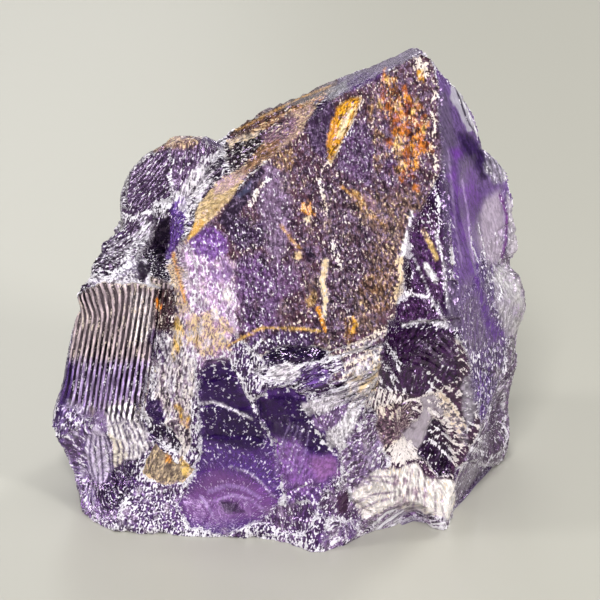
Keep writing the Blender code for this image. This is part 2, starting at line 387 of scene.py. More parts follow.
# %% The wedges, the gap and the ledge
STRUCK_OFF = {
    "upper_wedge": (
        Fracture((12.4, -6.0, 27.4), -114, 24),
        Fracture((11.3, -5.4, 28.2), -20, -19),
        Fracture((9.2, -7.6, 23.0), -24, 4),
    ),
    "middle_wedge": (
        Fracture((13.0, -8.8, 21.3), -112, 24),
        Fracture((9.0, -7.6, 22.0), -24, 4),
        Fracture((12.0, -8.0, 21.3), -80, -60),
    ),
    "lower_wedge": (
        Fracture((12.8, -9.2, 18.5), -106, 12),
        Fracture((8.4, -8.6, 18.0), -26, 4),
        Fracture((12.0, -9.0, 18.5), -86, -58),
    ),
    "gap": (
        Fracture((-9.6, -1.2, 22.5), -124, 14),
        Fracture((-11.4, -2.0, 22.5), -24, 8),
        Fracture((-8.4, -4.0, 22.5), -172, -8),
        Fracture((-10.0, -3.0, 20.8), 250, 80),
    ),
    "ledge": (
        Fracture((-13.6, -3.6, 21.0), -100, 62),
        Fracture((-11.9, -3.4, 22.0), 190, 10),
    ),
    "back_flake": (
        Fracture((-2.0, 7.9, 14.0), 101, 8),
        Fracture((-2.0, 10.0, 9.4), 84, 60),
    ),
    "back_wedge": (
        Fracture((9.0, 10.0, 12.0), 60, 9),
        Fracture((4.4, 9.6, 12.0), 10, 30),
    ),
}
STEEPEST = 0.08
NO_GRAIN = np.nan


def wedge_floor(fractures):
    """The height over the first fracture: the largest of 0 and, for each other plane with the
    local normal (a, b, c) through p, the height (n.p - a*across - b*up) / c."""
    base = fractures[0]
    local = axes(aim(base.heading, base.lean))
    planes = []
    for other in fractures[1:]:
        normal = local @ aim(other.heading, other.lean)
        level = normal @ (local @ (np.array(other.through) - np.array(base.through)))
        planes.append((normal[0], normal[1], max(normal[2], STEEPEST), level))

    def floor(across, up):
        height = np.zeros_like(across)
        for a, b, c, level in planes:
            height = np.maximum(height, (level - a * across - b * up) / c)
        return height, 0.0, 0.0, 0.0, np.full((len(across), 3), NO_GRAIN)

    return floor


for name, fractures in STRUCK_OFF.items():
    base = fractures[0]
    press(skin, name, base.through, aim(base.heading, base.lean), wedge_floor(fractures))
print("struck off:", ", ".join(STRUCK_OFF))

# %% [markdown]
# ## The striated breaks
# Quartz that grew in fits and starts breaks into parallel ribs. A rib's profile is a steady rise
# and a sudden drop. The ribs wander a little, and each is a bit wider or narrower than the last.

# %% The ribs


class Ribs(NamedTuple):
    """A striated break: a floor of parallel ribs, rolled about the way it looks. It has a span
    across and along, the ribs' pitch and depth in mm, how many pitches they wander, and how
    strongly they are striped with painted light and shade."""

    through: tuple
    heading: float
    lean: float
    roll: float
    across: tuple
    along: tuple
    pitch: float
    depth: float
    wander: float
    strength: float


RIBBED = {
    "step": Ribs((-13.8, -4.8, 14.5), -121, 11, -4, (-6.4, 4.6), (-6.6, 7.2), 0.47, 0.26, 0.5, 1.0),
    "hackle": Ribs((3.2, -11.3, 14.2), -98, 20, -66, (-2.8, 2.9), (-7.2, 7.2), 0.75, 0.5, 1.6, 0.55),
}
WALL = 6.0
DRIFT_ACROSS, DRIFT_ALONG = 2.2, 7.0
RAGGED_SIZE = 1.4
LEAST_STRIPED, MOST_STRIPED = 0.5, 1.05


def ribbed_floor(ribs, seed):
    """Minus the depth times a wave of the distance across, which wanders with a random field
    drawn out along the ribs. Each rib is up to a half less deep than the deepest, here and there.
    Outside its span the floor rises steeply, as a ragged wall."""

    def floor(across, up):
        drift = field(spread(across / DRIFT_ACROSS, up / DRIFT_ALONG, 0.0), 1.0, seed)
        phase = across / ribs.pitch + ribs.wander * drift
        uneven = 0.75 + 0.25 * field(spread(np.floor(phase), up / 3.0, 0.0), 1.0, seed + 5)
        wave = np.abs(2.0 * (phase - np.floor(phase)) - 1.0)
        beyond = np.maximum.reduce([
            ribs.across[0] - across, across - ribs.across[1], ribs.along[0] - up, up - ribs.along[1],
        ])
        ragged = beyond + 0.5 * rough(spread(across, up / 2.0, 0.0), RAGGED_SIZE, seed + 9)
        height = np.maximum(ragged, 0.0) * WALL - ribs.depth * wave * uneven
        grain = spread(phase * 0.6, up / 6.0, float(seed))
        patch = 0.95 + 0.5 * field(spread(across / 0.8, up / 2.5, 0.0), 1.0, seed + 13)
        patch = np.clip(patch, LEAST_STRIPED, MOST_STRIPED)
        return height, phase, ribs.strength * patch * ramp(-ragged, 0.0, 0.8), 0.0, grain

    return floor


for number, (name, ribs) in enumerate(RIBBED.items()):
    press(
        skin, name, ribs.through, aim(ribs.heading, ribs.lean), ribbed_floor(ribs, 31 + 7 * number),
        roll=ribs.roll, rim_width=0.08,
    )
print("ribbed:", ", ".join(RIBBED))

# %% [markdown]
# ## The shell-shaped scoops
# A blow sends a cone of fracture into the glassy quartz. It leaves a dish with ripples round the
# point that was struck, steep on one side like waves on sand, and fine lines that fan out from it.

# %% The scoops


class Scoop(NamedTuple):
    """A dish round the point struck, with a radius and depth in mm and a count of ripples, whose
    relief is in mm. They are strongest towards the fan angle, seen from outside, 90 being up. The
    dish is stretched sideways and then turned anticlockwise. An unmarked one is an old hollow,
    whose rim later breaks took away."""

    struck: tuple
    heading: float
    lean: float
    radius: float
    depth: float
    ripples: int
    relief: float
    fan: float = 90.0
    stretch: float = 1.0
    turn: float = 0.0
    marked: bool = True


SCOOPS = {
    "shell": Scoop((-4.4, -11.3, 1.6), -110, 8, 12.0, 1.7, 0, 0.0, 84, 0.72, 12, False),
    "centre_shell": Scoop((1.4, -12.5, 5.6), -94, 8, 7.4, 0.9, 0, 0.0, 140, 0.56, 24, False),
    "cream_scoop": Scoop((6.4, -12.6, 2.2), -82, 2, 6.4, 1.3, 8, 0.18, 150, 0.7, 20),
    "foot_scoop": Scoop((9.3, -11.0, -1.4), -72, -10, 6.2, 2.6, 6, 0.2, 100),
    "right_scoop": Scoop((11.2, -10.7, 8.4), -66, 4, 10.0, 3.0, 15, 0.26, 120, 0.62, 6),
    "left_shell": Scoop((-15.2, -7.6, 3.0), -126, 6, 7.0, 1.6, 10, 0.3, 60, 0.8),
    "left_foot_shell": Scoop((-9.6, -10.9, 0.6), -116, -4, 5.2, 1.2, 5, 0.16, 60),
    "right_hollow": Scoop((17.2, -2.6, 21.6), -30, 16, 11.0, 1.2, 0, 0.0, 90, 0.5, 16, False),
    "right_nick": Scoop((18.7, 3.6, 17.6), -8, 20, 3.0, 1.0, 3, 0.14),
    "upper_nick": Scoop((16.4, 1.6, 29.2), 6, 24, 2.4, 0.8, 3, 0.12),
    "right_dent": Scoop((16.9, -2.2, 6.4), -20, -6, 5.5, 1.0, 6, 0.14, 70, 0.8),
    "back_shell": Scoop((-3.0, 12.6, 1.0), 98, 10, 13.0, 2.4, 11, 0.42, 90, 0.9),
    "back_upper_shell": Scoop((-5.0, 7.6, 12.6), 101, 8, 12.0, 1.0, 9, 0.34, 60, 0.8, 30),
    "back_scoop": Scoop((8.0, 8.0, 26.0), 76, 24, 9.0, 1.9, 8, 0.34, 250, 0.8, 20),
    "left_scoop": Scoop((-17.2, 4.6, 4.0), 165, 6, 8.0, 1.6, 8, 0.22, 90),
    "left_high": Scoop((-15.0, 2.0, 15.0), 176, 24, 5.6, 0.9, 6, 0.16, 270, 0.8),
}
RIM_WANDER = 0.07
CROWDING = 0.85
RIPPLE_WANDER, RIPPLE_LUMPS = 0.9, 3.6
PATCH_LUMPS = 2.0
PLAIN_WITHIN, FANNED_FROM = 0.8, 3.0
LINES_PER_RADIAN = 3.0
LINE_LENGTH = 4.5
STRIPED_SHARE = 0.25


def dish_floor(scoop, seed):
    """With r the distance over the radius: depth * (r^2 - 1), plus ripples, each a slow rise and
    a sudden drop of the wave number r^(1/crowding). The rim wanders twice round, the ripples
    wander with a random field and fade away from the fan angle. The grain is the angle and the
    distance, but near the middle, where all the lines would meet, it is just the place."""

    def floor(across, up):
        turn = math.radians(scoop.turn)
        x = (math.cos(turn) * across + math.sin(turn) * up) / scoop.stretch
        y = math.cos(turn) * up - math.sin(turn) * across
        angle = np.arctan2(y, x)
        r = np.hypot(x, y) / scoop.radius / (1.0 + RIM_WANDER * np.sin(2 * angle + scoop.radius))
        height = scoop.depth * (r**2 - 1.0)
        flat = spread(across, up, 0.0)
        phase = scoop.ripples * r ** (1 / CROWDING) + RIPPLE_WANDER * field(flat, RIPPLE_LUMPS, seed)
        saw = phase - np.floor(phase)
        wave = saw * ramp(1.0 - saw, 0.0, 0.25)
        fan = 0.5 + 0.5 * np.cos(angle - math.radians(scoop.fan))
        patch = np.clip(0.6 + 0.7 * field(flat, PATCH_LUMPS, seed + 3), 0.0, 1.2)
        height = height + scoop.relief * wave * fan * patch
        away = r * scoop.radius
        fanned = ramp(away, PLAIN_WITHIN, FANNED_FROM)
        grain = spread(
            fanned * angle * LINES_PER_RADIAN + (1.0 - fanned) * x,
            fanned * away / LINE_LENGTH + (1.0 - fanned) * y,
            float(seed),
        )
        crest = (0.25 + 0.75 * fan) * patch * ramp(r, 0.05, 0.25) * bool(scoop.ripples)
        height = np.where(r > 1.0, (r - 1.0) * 4.0 * WALL, height)
        return height, phase, STRIPED_SHARE * crest, crest, grain

    return floor


for number, (name, scoop) in enumerate(SCOOPS.items()):
    press(
        skin, name, scoop.struck, aim(scoop.heading, scoop.lean), dish_floor(scoop, 60 + number),
        marked=scoop.marked,
    )
print(len(SCOOPS), "scoops struck")

# %% [markdown]
# ## Spalls drawn on the front
# Thin spalls came off the front between the big breaks. Each is an outline on the drawing board,
# and the surface inside it goes down by a small depth, deepest towards one end. The distance from
# a point to an outline is the distance to its nearest side, counted positive on the inside.

# %% Distances on the drawing board


def path_distance(u, v, path, closed):
    """The distance in mm to a closed path, positive inside it, or to an open one."""
    starts = path if closed else path[:-1]
    ends = np.roll(path, -1, axis=0) if closed else path[1:]
    nearest = np.full(u.shape, 1e9)
    inside = np.zeros(u.shape, dtype=bool)
    for (x0, y0), (x1, y1) in zip(starts, ends):
        dx, dy = x1 - x0, y1 - y0
        along = np.clip(((u - x0) * dx + (v - y0) * dy) / (dx * dx + dy * dy), 0.0, 1.0)
        nearest = np.minimum(nearest, (u - x0 - along * dx) ** 2 + (v - y0 - along * dy) ** 2)
        crosses = (y0 > v) != (y1 > v)
        inside ^= crosses & (u < dx * (v - y0) / (dy if dy else 1e-9) + x0)
    distance = np.sqrt(nearest) / STEPS_PER_MM
    return np.where(inside, distance, -distance) if closed else distance


# %% The spalls


class Spall(NamedTuple):
    """A thin break on the front: its outline in the front view, how deep it goes in mm, and the
    angle towards its deepest end. Ripples run round a centre, with one pitch and relief in mm,
    and line says how white their crests are."""

    outline: str
    depth: float
    deep_end: float = 90.0
    centre: tuple = (0.0, 0.0)
    pitch: float = 0.0
    relief: float = 0.0
    line: float = 0.0


SPALLS = {
    "left_dark": Spall(
        "199,372 208,362 228,360 240,388 257,420 273,447 280,475 283,500 265,518 225,527 190,520"
        " 178,505 190,478 200,450 199,420 197,395", 0.8, 60, (225, 522), 2.3, 0.3, 0.0,
    ),
    "mid_dark": Spall(
        "254,402 266,390 290,389 306,398 320,425 337,452 338,478 318,494 290,500 280,470 270,440 260,418",
        0.7, 110, (285, 540), 1.9, 0.1, 0.0,
    ),
    "low_violet": Spall(
        "285,490 318,486 332,494 330,512 305,524 288,516",
        0.35, 200, (325, 575), 1.2, 0.08, 0.2,
    ),
    "pale_slope": Spall(
        "340,452 358,430 372,408 378,420 382,450 392,462 375,482 358,500 342,482",
        0.35, 20, (406, 400), 0.8, 0.08, 0.3,
    ),
    "chunk_row": Spall("250,372 268,364 300,362 340,355 345,370 315,380 295,382 268,384", 0.45, 200),
    "dark_notch": Spall("260,356 282,346 318,348 332,350 322,360 292,365 268,364", 0.6, 90),
    "streaked_band": Spall(
        "164,244 190,246 198,290 195,350 193,400 188,450 178,468 170,438 154,400 160,350"
        " 172,325 172,288 166,262",
        0.3, 180,
    ),
    "dark_pocket": Spall("140,412 156,424 170,430 183,446 176,454 158,446 148,432", 0.6, 250),
    "beige_facet": Spall("145,462 155,445 166,455 178,465 192,470 184,482 165,485 148,480 143,472", 0.3, 0),
    "front_flake": Spall(
        "336,108 350,98 361,98 358,110 348,130 340,144 330,164 326,152 333,132 335,120",
        0.35, 60,
    ),
    "blade_hackle": Spall(
        "222,148 240,132 262,124 285,112 292,116 272,136 252,158 236,172 226,162",
        0.4, 100,
    ),
    "white_ledge": Spall("98,279 118,275 135,258 146,262 150,282 158,288 132,284 112,282", 0.3, 90),
    "scoop_mirror": Spall(
        "420,398 440,393 448,410 440,418 432,410 428,436 420,448 408,444 402,432 418,420 424,408", 0.15, 200,
    ),
    "scoop_eye": Spall("426,432 434,418 442,424 449,440 452,458 450,475 438,478 428,462 418,455", 0.5, 90),
    "low_facet": Spall("458,470 470,462 480,464 500,468 488,488 470,510 455,520 450,500", 0.5, 0),
    "foot_chip": Spall("285,505 308,502 315,518 302,535 275,532 260,520", 0.4, 270),
    "foot_chip_right": Spall("322,495 345,490 352,500 372,512 357,525 337,520 318,508", 0.4, 0),
    "wedge_fissure": Spall("407,244 418,262 428,282 438,304 447,324 436,322 424,296 414,272", 0.3, 180),
}
SPALL_WOBBLE = 0.16
SPALL_WALL = 0.22
SQUARE_ENOUGH = 0.1
FRONT_REACH = 4.0
BOARD_MARGIN = 8
SPALL_LINES, SPALL_LINE_LENGTH = 5.0, 2.2


def drop_spall(skin, name, spall, seed):
    """Presses the inside of an outline down by its depth, times 0.4 at the shallow end and 1 at
    the deep one, with a wall of fixed width and ripples round the centre. With ripples, its grain
    is the angle round the centre and the distance from it."""
    u, v = front_view(skin.points)
    near = (skin.outward @ -SIGHT > SQUARE_ENOUGH) & (skin.points[:, 1] < FRONT_REACH)
    ring = corners(spall.outline)
    low, high = ring.min(axis=0) - BOARD_MARGIN, ring.max(axis=0) + BOARD_MARGIN
    near &= (u > low[0]) & (u < high[0]) & (v > low[1]) & (v < high[1])
    spot = np.flatnonzero(near)
    across, down = u[spot], v[spot]
    inside = path_distance(across, down, ring, True)
    inside = inside + SPALL_WOBBLE * rough(skin.points[spot], 0.9, seed, 2)
    turn = math.radians(spall.deep_end)
    way = np.array([math.cos(turn), -math.sin(turn)])
    middle = ring.mean(axis=0)
    reach = np.abs((ring - middle) @ way).max()
    slope = ((across - middle[0]) * way[0] + (down - middle[1]) * way[1]) / reach
    depth = spall.depth * (0.7 + 0.3 * np.clip(slope, -1.0, 1.0))
    phase = np.zeros(len(spot))
    if spall.pitch:
        away = np.hypot(across - spall.centre[0], down - spall.centre[1]) / STEPS_PER_MM
        phase = away / spall.pitch + 0.25 * field(skin.points[spot], 2.0, seed + 4)
        saw = phase - np.floor(phase)
        depth = depth - spall.relief * saw * ramp(1.0 - saw, 0.0, 0.12)
    wall = ramp(inside, -SPALL_WALL, SPALL_WALL)
    skin.points[spot] -= (wall * depth)[:, None] * skin.outward[spot]
    FACETS.append(name)
    cut = inside > 0.0
    skin.edge[spot] = np.where(cut, np.abs(inside), np.minimum(skin.edge[spot], np.abs(inside)))
    skin.home[spot] = np.where(cut, len(FACETS) - 1, skin.home[spot])
    skin.phase[spot] = np.where(cut, phase, skin.phase[spot])
    skin.line[spot] = np.where(cut, 0.0, skin.line[spot])
    skin.crest[spot] = np.where(cut, spall.line * ramp(inside, 0.1, 0.5), skin.crest[spot])
    angle = np.arctan2(down - spall.centre[1], across - spall.centre[0])
    grain = np.full((len(spot), 3), NO_GRAIN)
    if spall.pitch:
        grain = spread(angle * SPALL_LINES, away / SPALL_LINE_LENGTH, float(seed))
    skin.grain[spot] = np.where(cut[:, None], grain, skin.grain[spot])


for number, (name, spall) in enumerate(SPALLS.items()):
    drop_spall(skin, name, spall, 200 + 3 * number)
print(len(SPALLS), "spalls dropped")

# %% [markdown]
# ## Lobes on the outline
# Clear lobes stand out a little at the stone's edges, where spalls left them. Each is a soft swell
# of the skin, pushed sideways in the front view.

# %% The lobes


class Lobe(NamedTuple):
    """A swell round a point of the front view: its radii in mm across and down, and the push in
    mm, to the right, away from the eye and up."""

    place: tuple
    radii: tuple
    push: tuple


LOBES = [
    Lobe((455, 90), (2.4, 2.4), (0.45, 0.0, 0.2)),
    Lobe((468, 112), (2.4, 2.8), (0.45, 0.0, 0.1)),
    Lobe((499, 170), (2.2, 2.2), (1.6, 0.0, 0.0)),
    Lobe((500, 194), (2.0, 2.0), (1.15, 0.0, 0.0)),
    Lobe((508, 222), (2.4, 3.4), (1.1, 0.0, 0.1)),
    Lobe((515, 305), (2.6, 4.2), (0.9, 0.0, 0.0)),
    Lobe((512, 360), (2.4, 3.2), (0.55, 0.0, 0.0)),
    Lobe((496, 440), (2.0, 3.0), (0.5, 0.0, 0.0)),
    Lobe((110, 510), (5.2, 3.2), (-0.5, -1.7, 0.0)),
    Lobe((150, 520), (5.0, 2.4), (0.0, -0.9, 0.0)),
    Lobe((60, 415), (1.6, 3.4), (-0.4, 0.0, 0.0)),
    Lobe((180, 140), (3.0, 1.6), (0.0, 0.0, 0.35)),
    Lobe((132, 192), (2.4, 3.4), (-0.7, 0.0, 0.1)),
    Lobe((113, 262), (3.0, 2.9), (-1.7, 0.0, 0.0)),
    Lobe((94, 288), (3.0, 2.6), (-0.9, 0.0, 0.0)),
    Lobe((116, 246), (2.0, 1.6), (-0.5, 0.0, 0.0)),
    Lobe((146, 158), (2.4, 2.2), (-0.5, 0.0, 0.45)),
    Lobe((205, 526), (7.0, 2.6), (0.0, -1.5, 0.0)),
    Lobe((441, 524), (1.8, 2.0), (0.0, -1.0, 0.0)),
    Lobe((412, 520), (1.7, 1.7), (0.0, 1.3, 0.0)),
    Lobe((514, 264), (1.6, 1.1), (-0.7, 0.0, 0.0)),
]
HIDDEN_BELOW = -0.35

u, v = front_view(skin.points)
for lobe in LOBES:
    side, down = (u - lobe.place[0]) / lobe.radii[0], (v - lobe.place[1]) / lobe.radii[1]
    away = np.hypot(side, down) / STEPS_PER_MM
    swell = ramp(1.0 - away, 0.0, 1.0) * (skin.outward @ -SIGHT > HIDDEN_BELOW)
    skin.points = skin.points + swell[:, None] * np.array(lobe.push)
print(len(LOBES), "lobes swelled")

# %% [markdown]
# ## The finish of each break
# Each kind of break has its own finish. Glassy ones are clear and only swell softly. Frosted ones
# are pitted and streaked, and scatter light. Crushed quartz is white, because its countless tiny
# cracks send all the light back. Speck says how crushed a break is all over, from 0 to 1, and on
# frosted breaks its white specks are also painted glints. Streak says how uneven its tone is along
# the grain, and lean the way its grain runs, 90 being up.

# %% The table of finishes


class Finish(NamedTuple):
    """A break's tint, how clear it is, its frost, specks, streaks and grain, its relief, which is
    the swell, the hackle and the grit in mm, and how far its grain is drawn out. The defaults are
    the plain finish of the breaks that aren't in the table, most of them on the hidden sides."""

    tint: str = "A890C4"
    clear: float = 0.8
    frost: float = 0.12
    speck: float = 0.0
    streak: float = 0.4
    lean: float = 80.0
    swell: float = 0.12
    hackle: float = 0.07
    grit: float = 0.03
    stretch: float = 3.2


FINISHES = {
    "underside": Finish(swell=0.0, hackle=0.0, grit=0.0),
    "main_face": Finish("5E3E48", 0.45, 0.3, 0.05, 0.7, 100, 0.12, 0.10, 0.05, 2.0),
    "lower_centre": Finish("74508C", 0.7, 0.16, 0.24, 0.6, 80, 0.10, 0.08, 0.05, 2.4),
    "lower_left": Finish("644880", 0.6, 0.25, 0.26, 0.7, 84, 0.14, 0.12, 0.06, 2.4),
    "lower_right": Finish("705488", 0.6, 0.2, 0.26, 0.6, 80, 0.12, 0.07, 0.03, 2.4),
    "left_bulge": Finish("6A4C8C", 0.7, 0.2, 0.26, 0.6, 80, 0.2, 0.14, 0.05, 2.4),
    "left_side": Finish("7C64A0", 0.8, 0.16, 0.24, 0.5, 80),
    "right": Finish("9070B4", 0.55, 0.14, 0.0, 0.25, 96, 0.14, 0.01, 0.0),
    "right_front": Finish("8068A0", 0.6, 0.26, 0.18, 0.6, 80, 0.12, 0.08, 0.05, 2.6),
    "right_low": Finish("D0BED4", 0.8, 0.1, 0.1, 0.4, 80, 0.3, 0.2, 0.02),
    "right_foot": Finish("806888", 0.7, 0.2, 0.2, 0.5, 60),
    "right_dent": Finish("806888", 0.7, 0.2, 0.08, 0.5, 60),
    "right_back_top": Finish("B8A4CC", 0.9, 0.08, 0.05, 0.3, 70, 0.2, 0.06, 0.0),
    "blade": Finish("C09A90", 0.35, 0.3, 0.06, 0.45, 52, 0.08, 0.03, 0.02, 2.4),
    "blade_hackle": Finish("2C1824", 0.6, 0.2, 0.14, 0.9, 52, 0.08, 0.2, 0.05),
    "left_slope": Finish("3C2A4C", 0.6, 0.25, 0.28, 0.8, 52, 0.1, 0.14, 0.06, 2.4),
    "crest": Finish("8C78A0", 0.6, 0.24, 0.0, 0.3, 20, 0.08, 0.02, 0.01),
    "tip": Finish("8C7C94", 0.5, 0.3, 0.4, 0.4),
    "upper_wedge": Finish("4C2A60", 0.6, 0.16, 0.06, 0.6, 110, 0.06, 0.05, 0.04, 1.8),
    "middle_wedge": Finish("4C2A60", 0.6, 0.16, 0.05, 0.6, 110, 0.06, 0.05, 0.04, 1.8),
    "lower_wedge": Finish("442458", 0.6, 0.16, 0.1, 0.8, 60, 0.08, 0.08, 0.04, 1.8),
    "gap": Finish("2C1C3C", 0.8, 0.1, 0.14, 0.8, 84, 0.1, 0.12, 0.03),
    "ledge": Finish("5A4A64", 0.4, 0.25, 0.2, 0.8, 20),
    "white_ledge": Finish("A89CB4", 0.2, 0.3, 0.3, 0.6, 20),
    "lump_front": Finish("503C5C", 0.5, 0.22, 0.08, 0.7, 62, 0.08, 0.06, 0.03),
    "lump_right": Finish("5C4668", 0.5, 0.22, 0.14, 0.7, 62, 0.08, 0.08, 0.03),
    "lump_crown_left": Finish("6A5474", 0.6, 0.2, 0.08, 0.5, 66, 0.08, 0.04, 0.02),
    "lump_crown": Finish("907888", 0.5, 0.26, 0.14, 0.5, 10),
    "lump_left": Finish("6A5878", 0.7, 0.16, 0.1, 0.7, 66, 0.08, 0.06, 0.02),
    "lump_under": Finish("584660", 0.6, 0.25, 0.26, 0.8, 62, 0.1, 0.16, 0.05, 2.6),
    "step": Finish("9A8A8E", 0.15, 0.22, 0.05, 0.4, 83, 0.04, 0.03, 0.015),
    "hackle": Finish("5E4470", 0.5, 0.2, 0.28, 0.9, 90, 0.12, 0.16, 0.06),
    "left_shell": Finish("A88CC0", 0.7, 0.1, 0.15, 0.6, 90, 0.06, 0.06, 0.03),
    "left_foot_shell": Finish("6C5084", 0.7, 0.15, 0.22, 0.6),
    "right_scoop": Finish("54344C", 0.6, 0.12, 0.12, 0.8, 90, 0.05, 0.06, 0.03),
    "cream_scoop": Finish("A890B4", 0.5, 0.14, 0.24, 0.8, 90, 0.06, 0.06, 0.03),
    "foot_scoop": Finish("A890B4", 0.5, 0.14, 0.24, 0.8, 90, 0.06, 0.06, 0.03),
    "left_dark": Finish("6C48A0", 0.6, 0.24, 0.015, 0.25, 90, 0.06, 0.03, 0.01),
    "mid_dark": Finish("6840A0", 0.6, 0.22, 0.015, 0.3, 90, 0.05, 0.03, 0.01),
    "low_violet": Finish("A078C8", 0.8, 0.2, 0.05, 0.5, 90, 0.06, 0.04, 0.02),
    "pale_slope": Finish("A88CB8", 0.6, 0.1, 0.16, 0.8, 90, 0.05, 0.05, 0.03),
    "chunk_row": Finish("78608C", 0.4, 0.2, 0.3, 0.8, 20, 0.1, 0.2, 0.06),
    "dark_notch": Finish("2A1C44", 0.8, 0.12, 0.06, 0.6, 20, 0.06, 0.1, 0.03),
    "streaked_band": Finish("A08C9C", 0.4, 0.3, 0.28, 0.9, 84, 0.08, 0.14, 0.06, 2.8),
    "dark_pocket": Finish("2E1C48", 0.8, 0.1, 0.14, 0.6, 90, 0.06, 0.06, 0.03),
    "beige_facet": Finish("B09C80", 0.35, 0.3, 0.12, 0.6, 70, 0.06, 0.05, 0.03),
    "front_flake": Finish("D8A030", 0.2, 0.24, 0.02, 0.5, 60, 0.05, 0.03, 0.02),
    "scoop_mirror": Finish("ACA2A8", 0.5, 0.1, 0.0, 0.1, 60, 0.03, 0.0, 0.0),
    "scoop_eye": Finish("2E1838", 0.8, 0.1, 0.06, 0.8, 60, 0.03, 0.05, 0.02),
    "low_facet": Finish("8C7498", 0.7, 0.1, 0.1, 0.7, 50, 0.04, 0.04, 0.01),
    "foot_chip": Finish("7C5C90", 0.7, 0.14, 0.16, 0.5, 90),
    "foot_chip_right": Finish("7C6088", 0.7, 0.1, 0.2, 0.5, 60),
    "wedge_fissure": Finish("5A4070", 0.7, 0.1, 0.1, 0.5, 60),
}
FINISH_OF = [FINISHES.get(name, Finish()) for name in FACETS]
print(len(FINISHES), "breaks have a finish of their own, and", len(FACETS) - len(FINISHES), "the plain one")


def per_facet(part):
    """One number for each grid point, from the finish of the break that it lies on."""
    return np.array([getattr(finish, part) for finish in FINISH_OF])[skin.home]


def linear(code):
    """The linear colour of an sRGB hex code."""
    part = np.array([int(code[k : k + 2], 16) / 255 for k in (0, 2, 4)])
    return np.where(part <= 0.04045, part / 12.92, ((part + 0.055) / 1.055) ** 2.4)


# %% [markdown]
# ## Grain and fine relief
# A streaked break has its unevenness drawn out along its grain. The place along the grain is
# shrunk, so a field that is read there comes out long. The relief is added along the way that the
# break looks, and edges are chipped away, deepest right at the edge.

# %% Grain and relief
SWELL_SIZE, HACKLE_SIZE, GRIT_SIZE, CHIP_SIZE = 5.0, 0.55, 0.25, 0.9
CHIP_DEPTH = 0.30
CHIP_REACH = 0.40
GRIT_NONE, GRIT_FULL = -8.0, -2.0


def grain_places():
    """The place in mm, shrunk along each break's grain: p - (1 - 1/stretch) (p.g) g, where g is
    the way that the grain runs."""
    ways = []
    for number, finish in enumerate(FINISH_OF):
        here = skin.home == number
        outward = skin.outward[here].mean(axis=0) if here.any() else np.array([0.0, -1.0, 0.0])
        outward = outward / max(np.linalg.norm(outward), TINY)
        lean = math.radians(finish.lean)
        across, up, _ = axes(outward)
        ways.append(math.cos(lean) * across + math.sin(lean) * up)
    way = np.array(ways)[skin.home]
    along = (skin.points * way).sum(axis=1)
    return skin.points - ((1.0 - 1.0 / per_facet("stretch")) * along)[:, None] * way


LINED = {
    "lump_front": (0.33, 0.42),
    "lump_right": (0.33, 0.3),
    "lump_crown_left": (0.36, 0.35),
    "lump_left": (0.4, 0.3),
}


def line_facets():
    """Fine parallel lines on some breaks, each with a pitch in mm and a strength: their phase is
    the distance across the grain over the pitch, and wanders a little."""
    for name, (pitch, strength) in LINED.items():
        spot = np.flatnonzero(skin.home == FACETS.index(name))
        lean = math.radians(FINISHES[name].lean)
        across, up, _ = axes(skin.outward[spot].mean(axis=0))
        over = skin.points[spot] @ (math.sin(lean) * across - math.cos(lean) * up)
        skin.phase[spot] = over / pitch + 0.9 * field(skin.points[spot], 2.6, 71)
        patch = np.clip(0.7 + 0.6 * rough(skin.points[spot], 1.6, 77, 2), 0.0, 1.0)
        skin.line[spot] = strength * patch


straight_grain = grain_places()
line_facets()
skin.grain = np.where(np.isnan(skin.grain), straight_grain, skin.grain)
seen = ramp(-skin.points[:, 1], GRIT_NONE, GRIT_FULL)
swell = per_facet("swell") * rough(skin.points, SWELL_SIZE, 3, 2)
hackle = per_facet("hackle") * (1.0 - 2.0 * np.abs(rough(skin.grain, HACKLE_SIZE, 11, 3)))
grit = per_facet("grit") * field(skin.points, GRIT_SIZE, 17) * seen
uneven = np.clip(0.3 + rough(skin.points, CHIP_SIZE, 23, 3), 0.0, 1.3)
chipped = np.exp(-skin.edge / CHIP_REACH) * uneven
chipped = np.where(skin.home == FACETS.index("underside"), 0.0, chipped * CHIP_DEPTH)
skin.points = skin.points + (swell + hackle + grit - chipped)[:, None] * skin.outward
skin.points[:, 2] = np.maximum(skin.points[:, 2], 0.0)
lowest, highest = skin.points.min(axis=0).round(2), skin.points.max(axis=0).round(2)
print("relief added, the stone spans", lowest, "to", highest, "mm")

# %% [markdown]
# ## Bruises
# Edges and the foot are knocked most, and there the quartz is crushed white. How crushed a point
# is falls off with its distance to the nearest edge, and a random field breaks the line up. The
# hidden sides have fewer bruises, so that their ripples show.

# %% Bruises along the edges
BRUISE_REACH = 0.22
EDGE_LINE = 0.13
BRUISE_SIZE = 0.7
MOST_CRUSHED = 0.6
FOOT_HEIGHT = 1.5
FOOT_CRUSHED, FOOT_UNEVEN, FOOT_SIZE = 0.13, 0.25, 0.5
HIDDEN_SPECK = 0.3

facing = skin.outward @ -SIGHT
foot = ramp(FOOT_HEIGHT - skin.points[:, 2], 0.0, FOOT_HEIGHT)
broken = np.clip(0.55 + 0.8 * rough(skin.points, BRUISE_SIZE, 41, 2), 0.0, 1.2)
speck = 0.5 * np.exp(-skin.edge / BRUISE_REACH) * broken
speck = speck + 0.6 * ramp(EDGE_LINE - skin.edge, 0.0, EDGE_LINE) * ramp(broken, 0.2, 0.6)
speck = np.maximum(speck, foot * (FOOT_CRUSHED + FOOT_UNEVEN * field(skin.points, FOOT_SIZE, 44)))
speck = speck + per_facet("speck")
speck = speck * (HIDDEN_SPECK + (1.0 - HIDDEN_SPECK) * ramp(facing, -0.3, 0.2))
speck = np.clip(speck, 0.0, MOST_CRUSHED)
print("crushed points, in percent:", round(100 * float((speck > 0.25).mean()), 1))

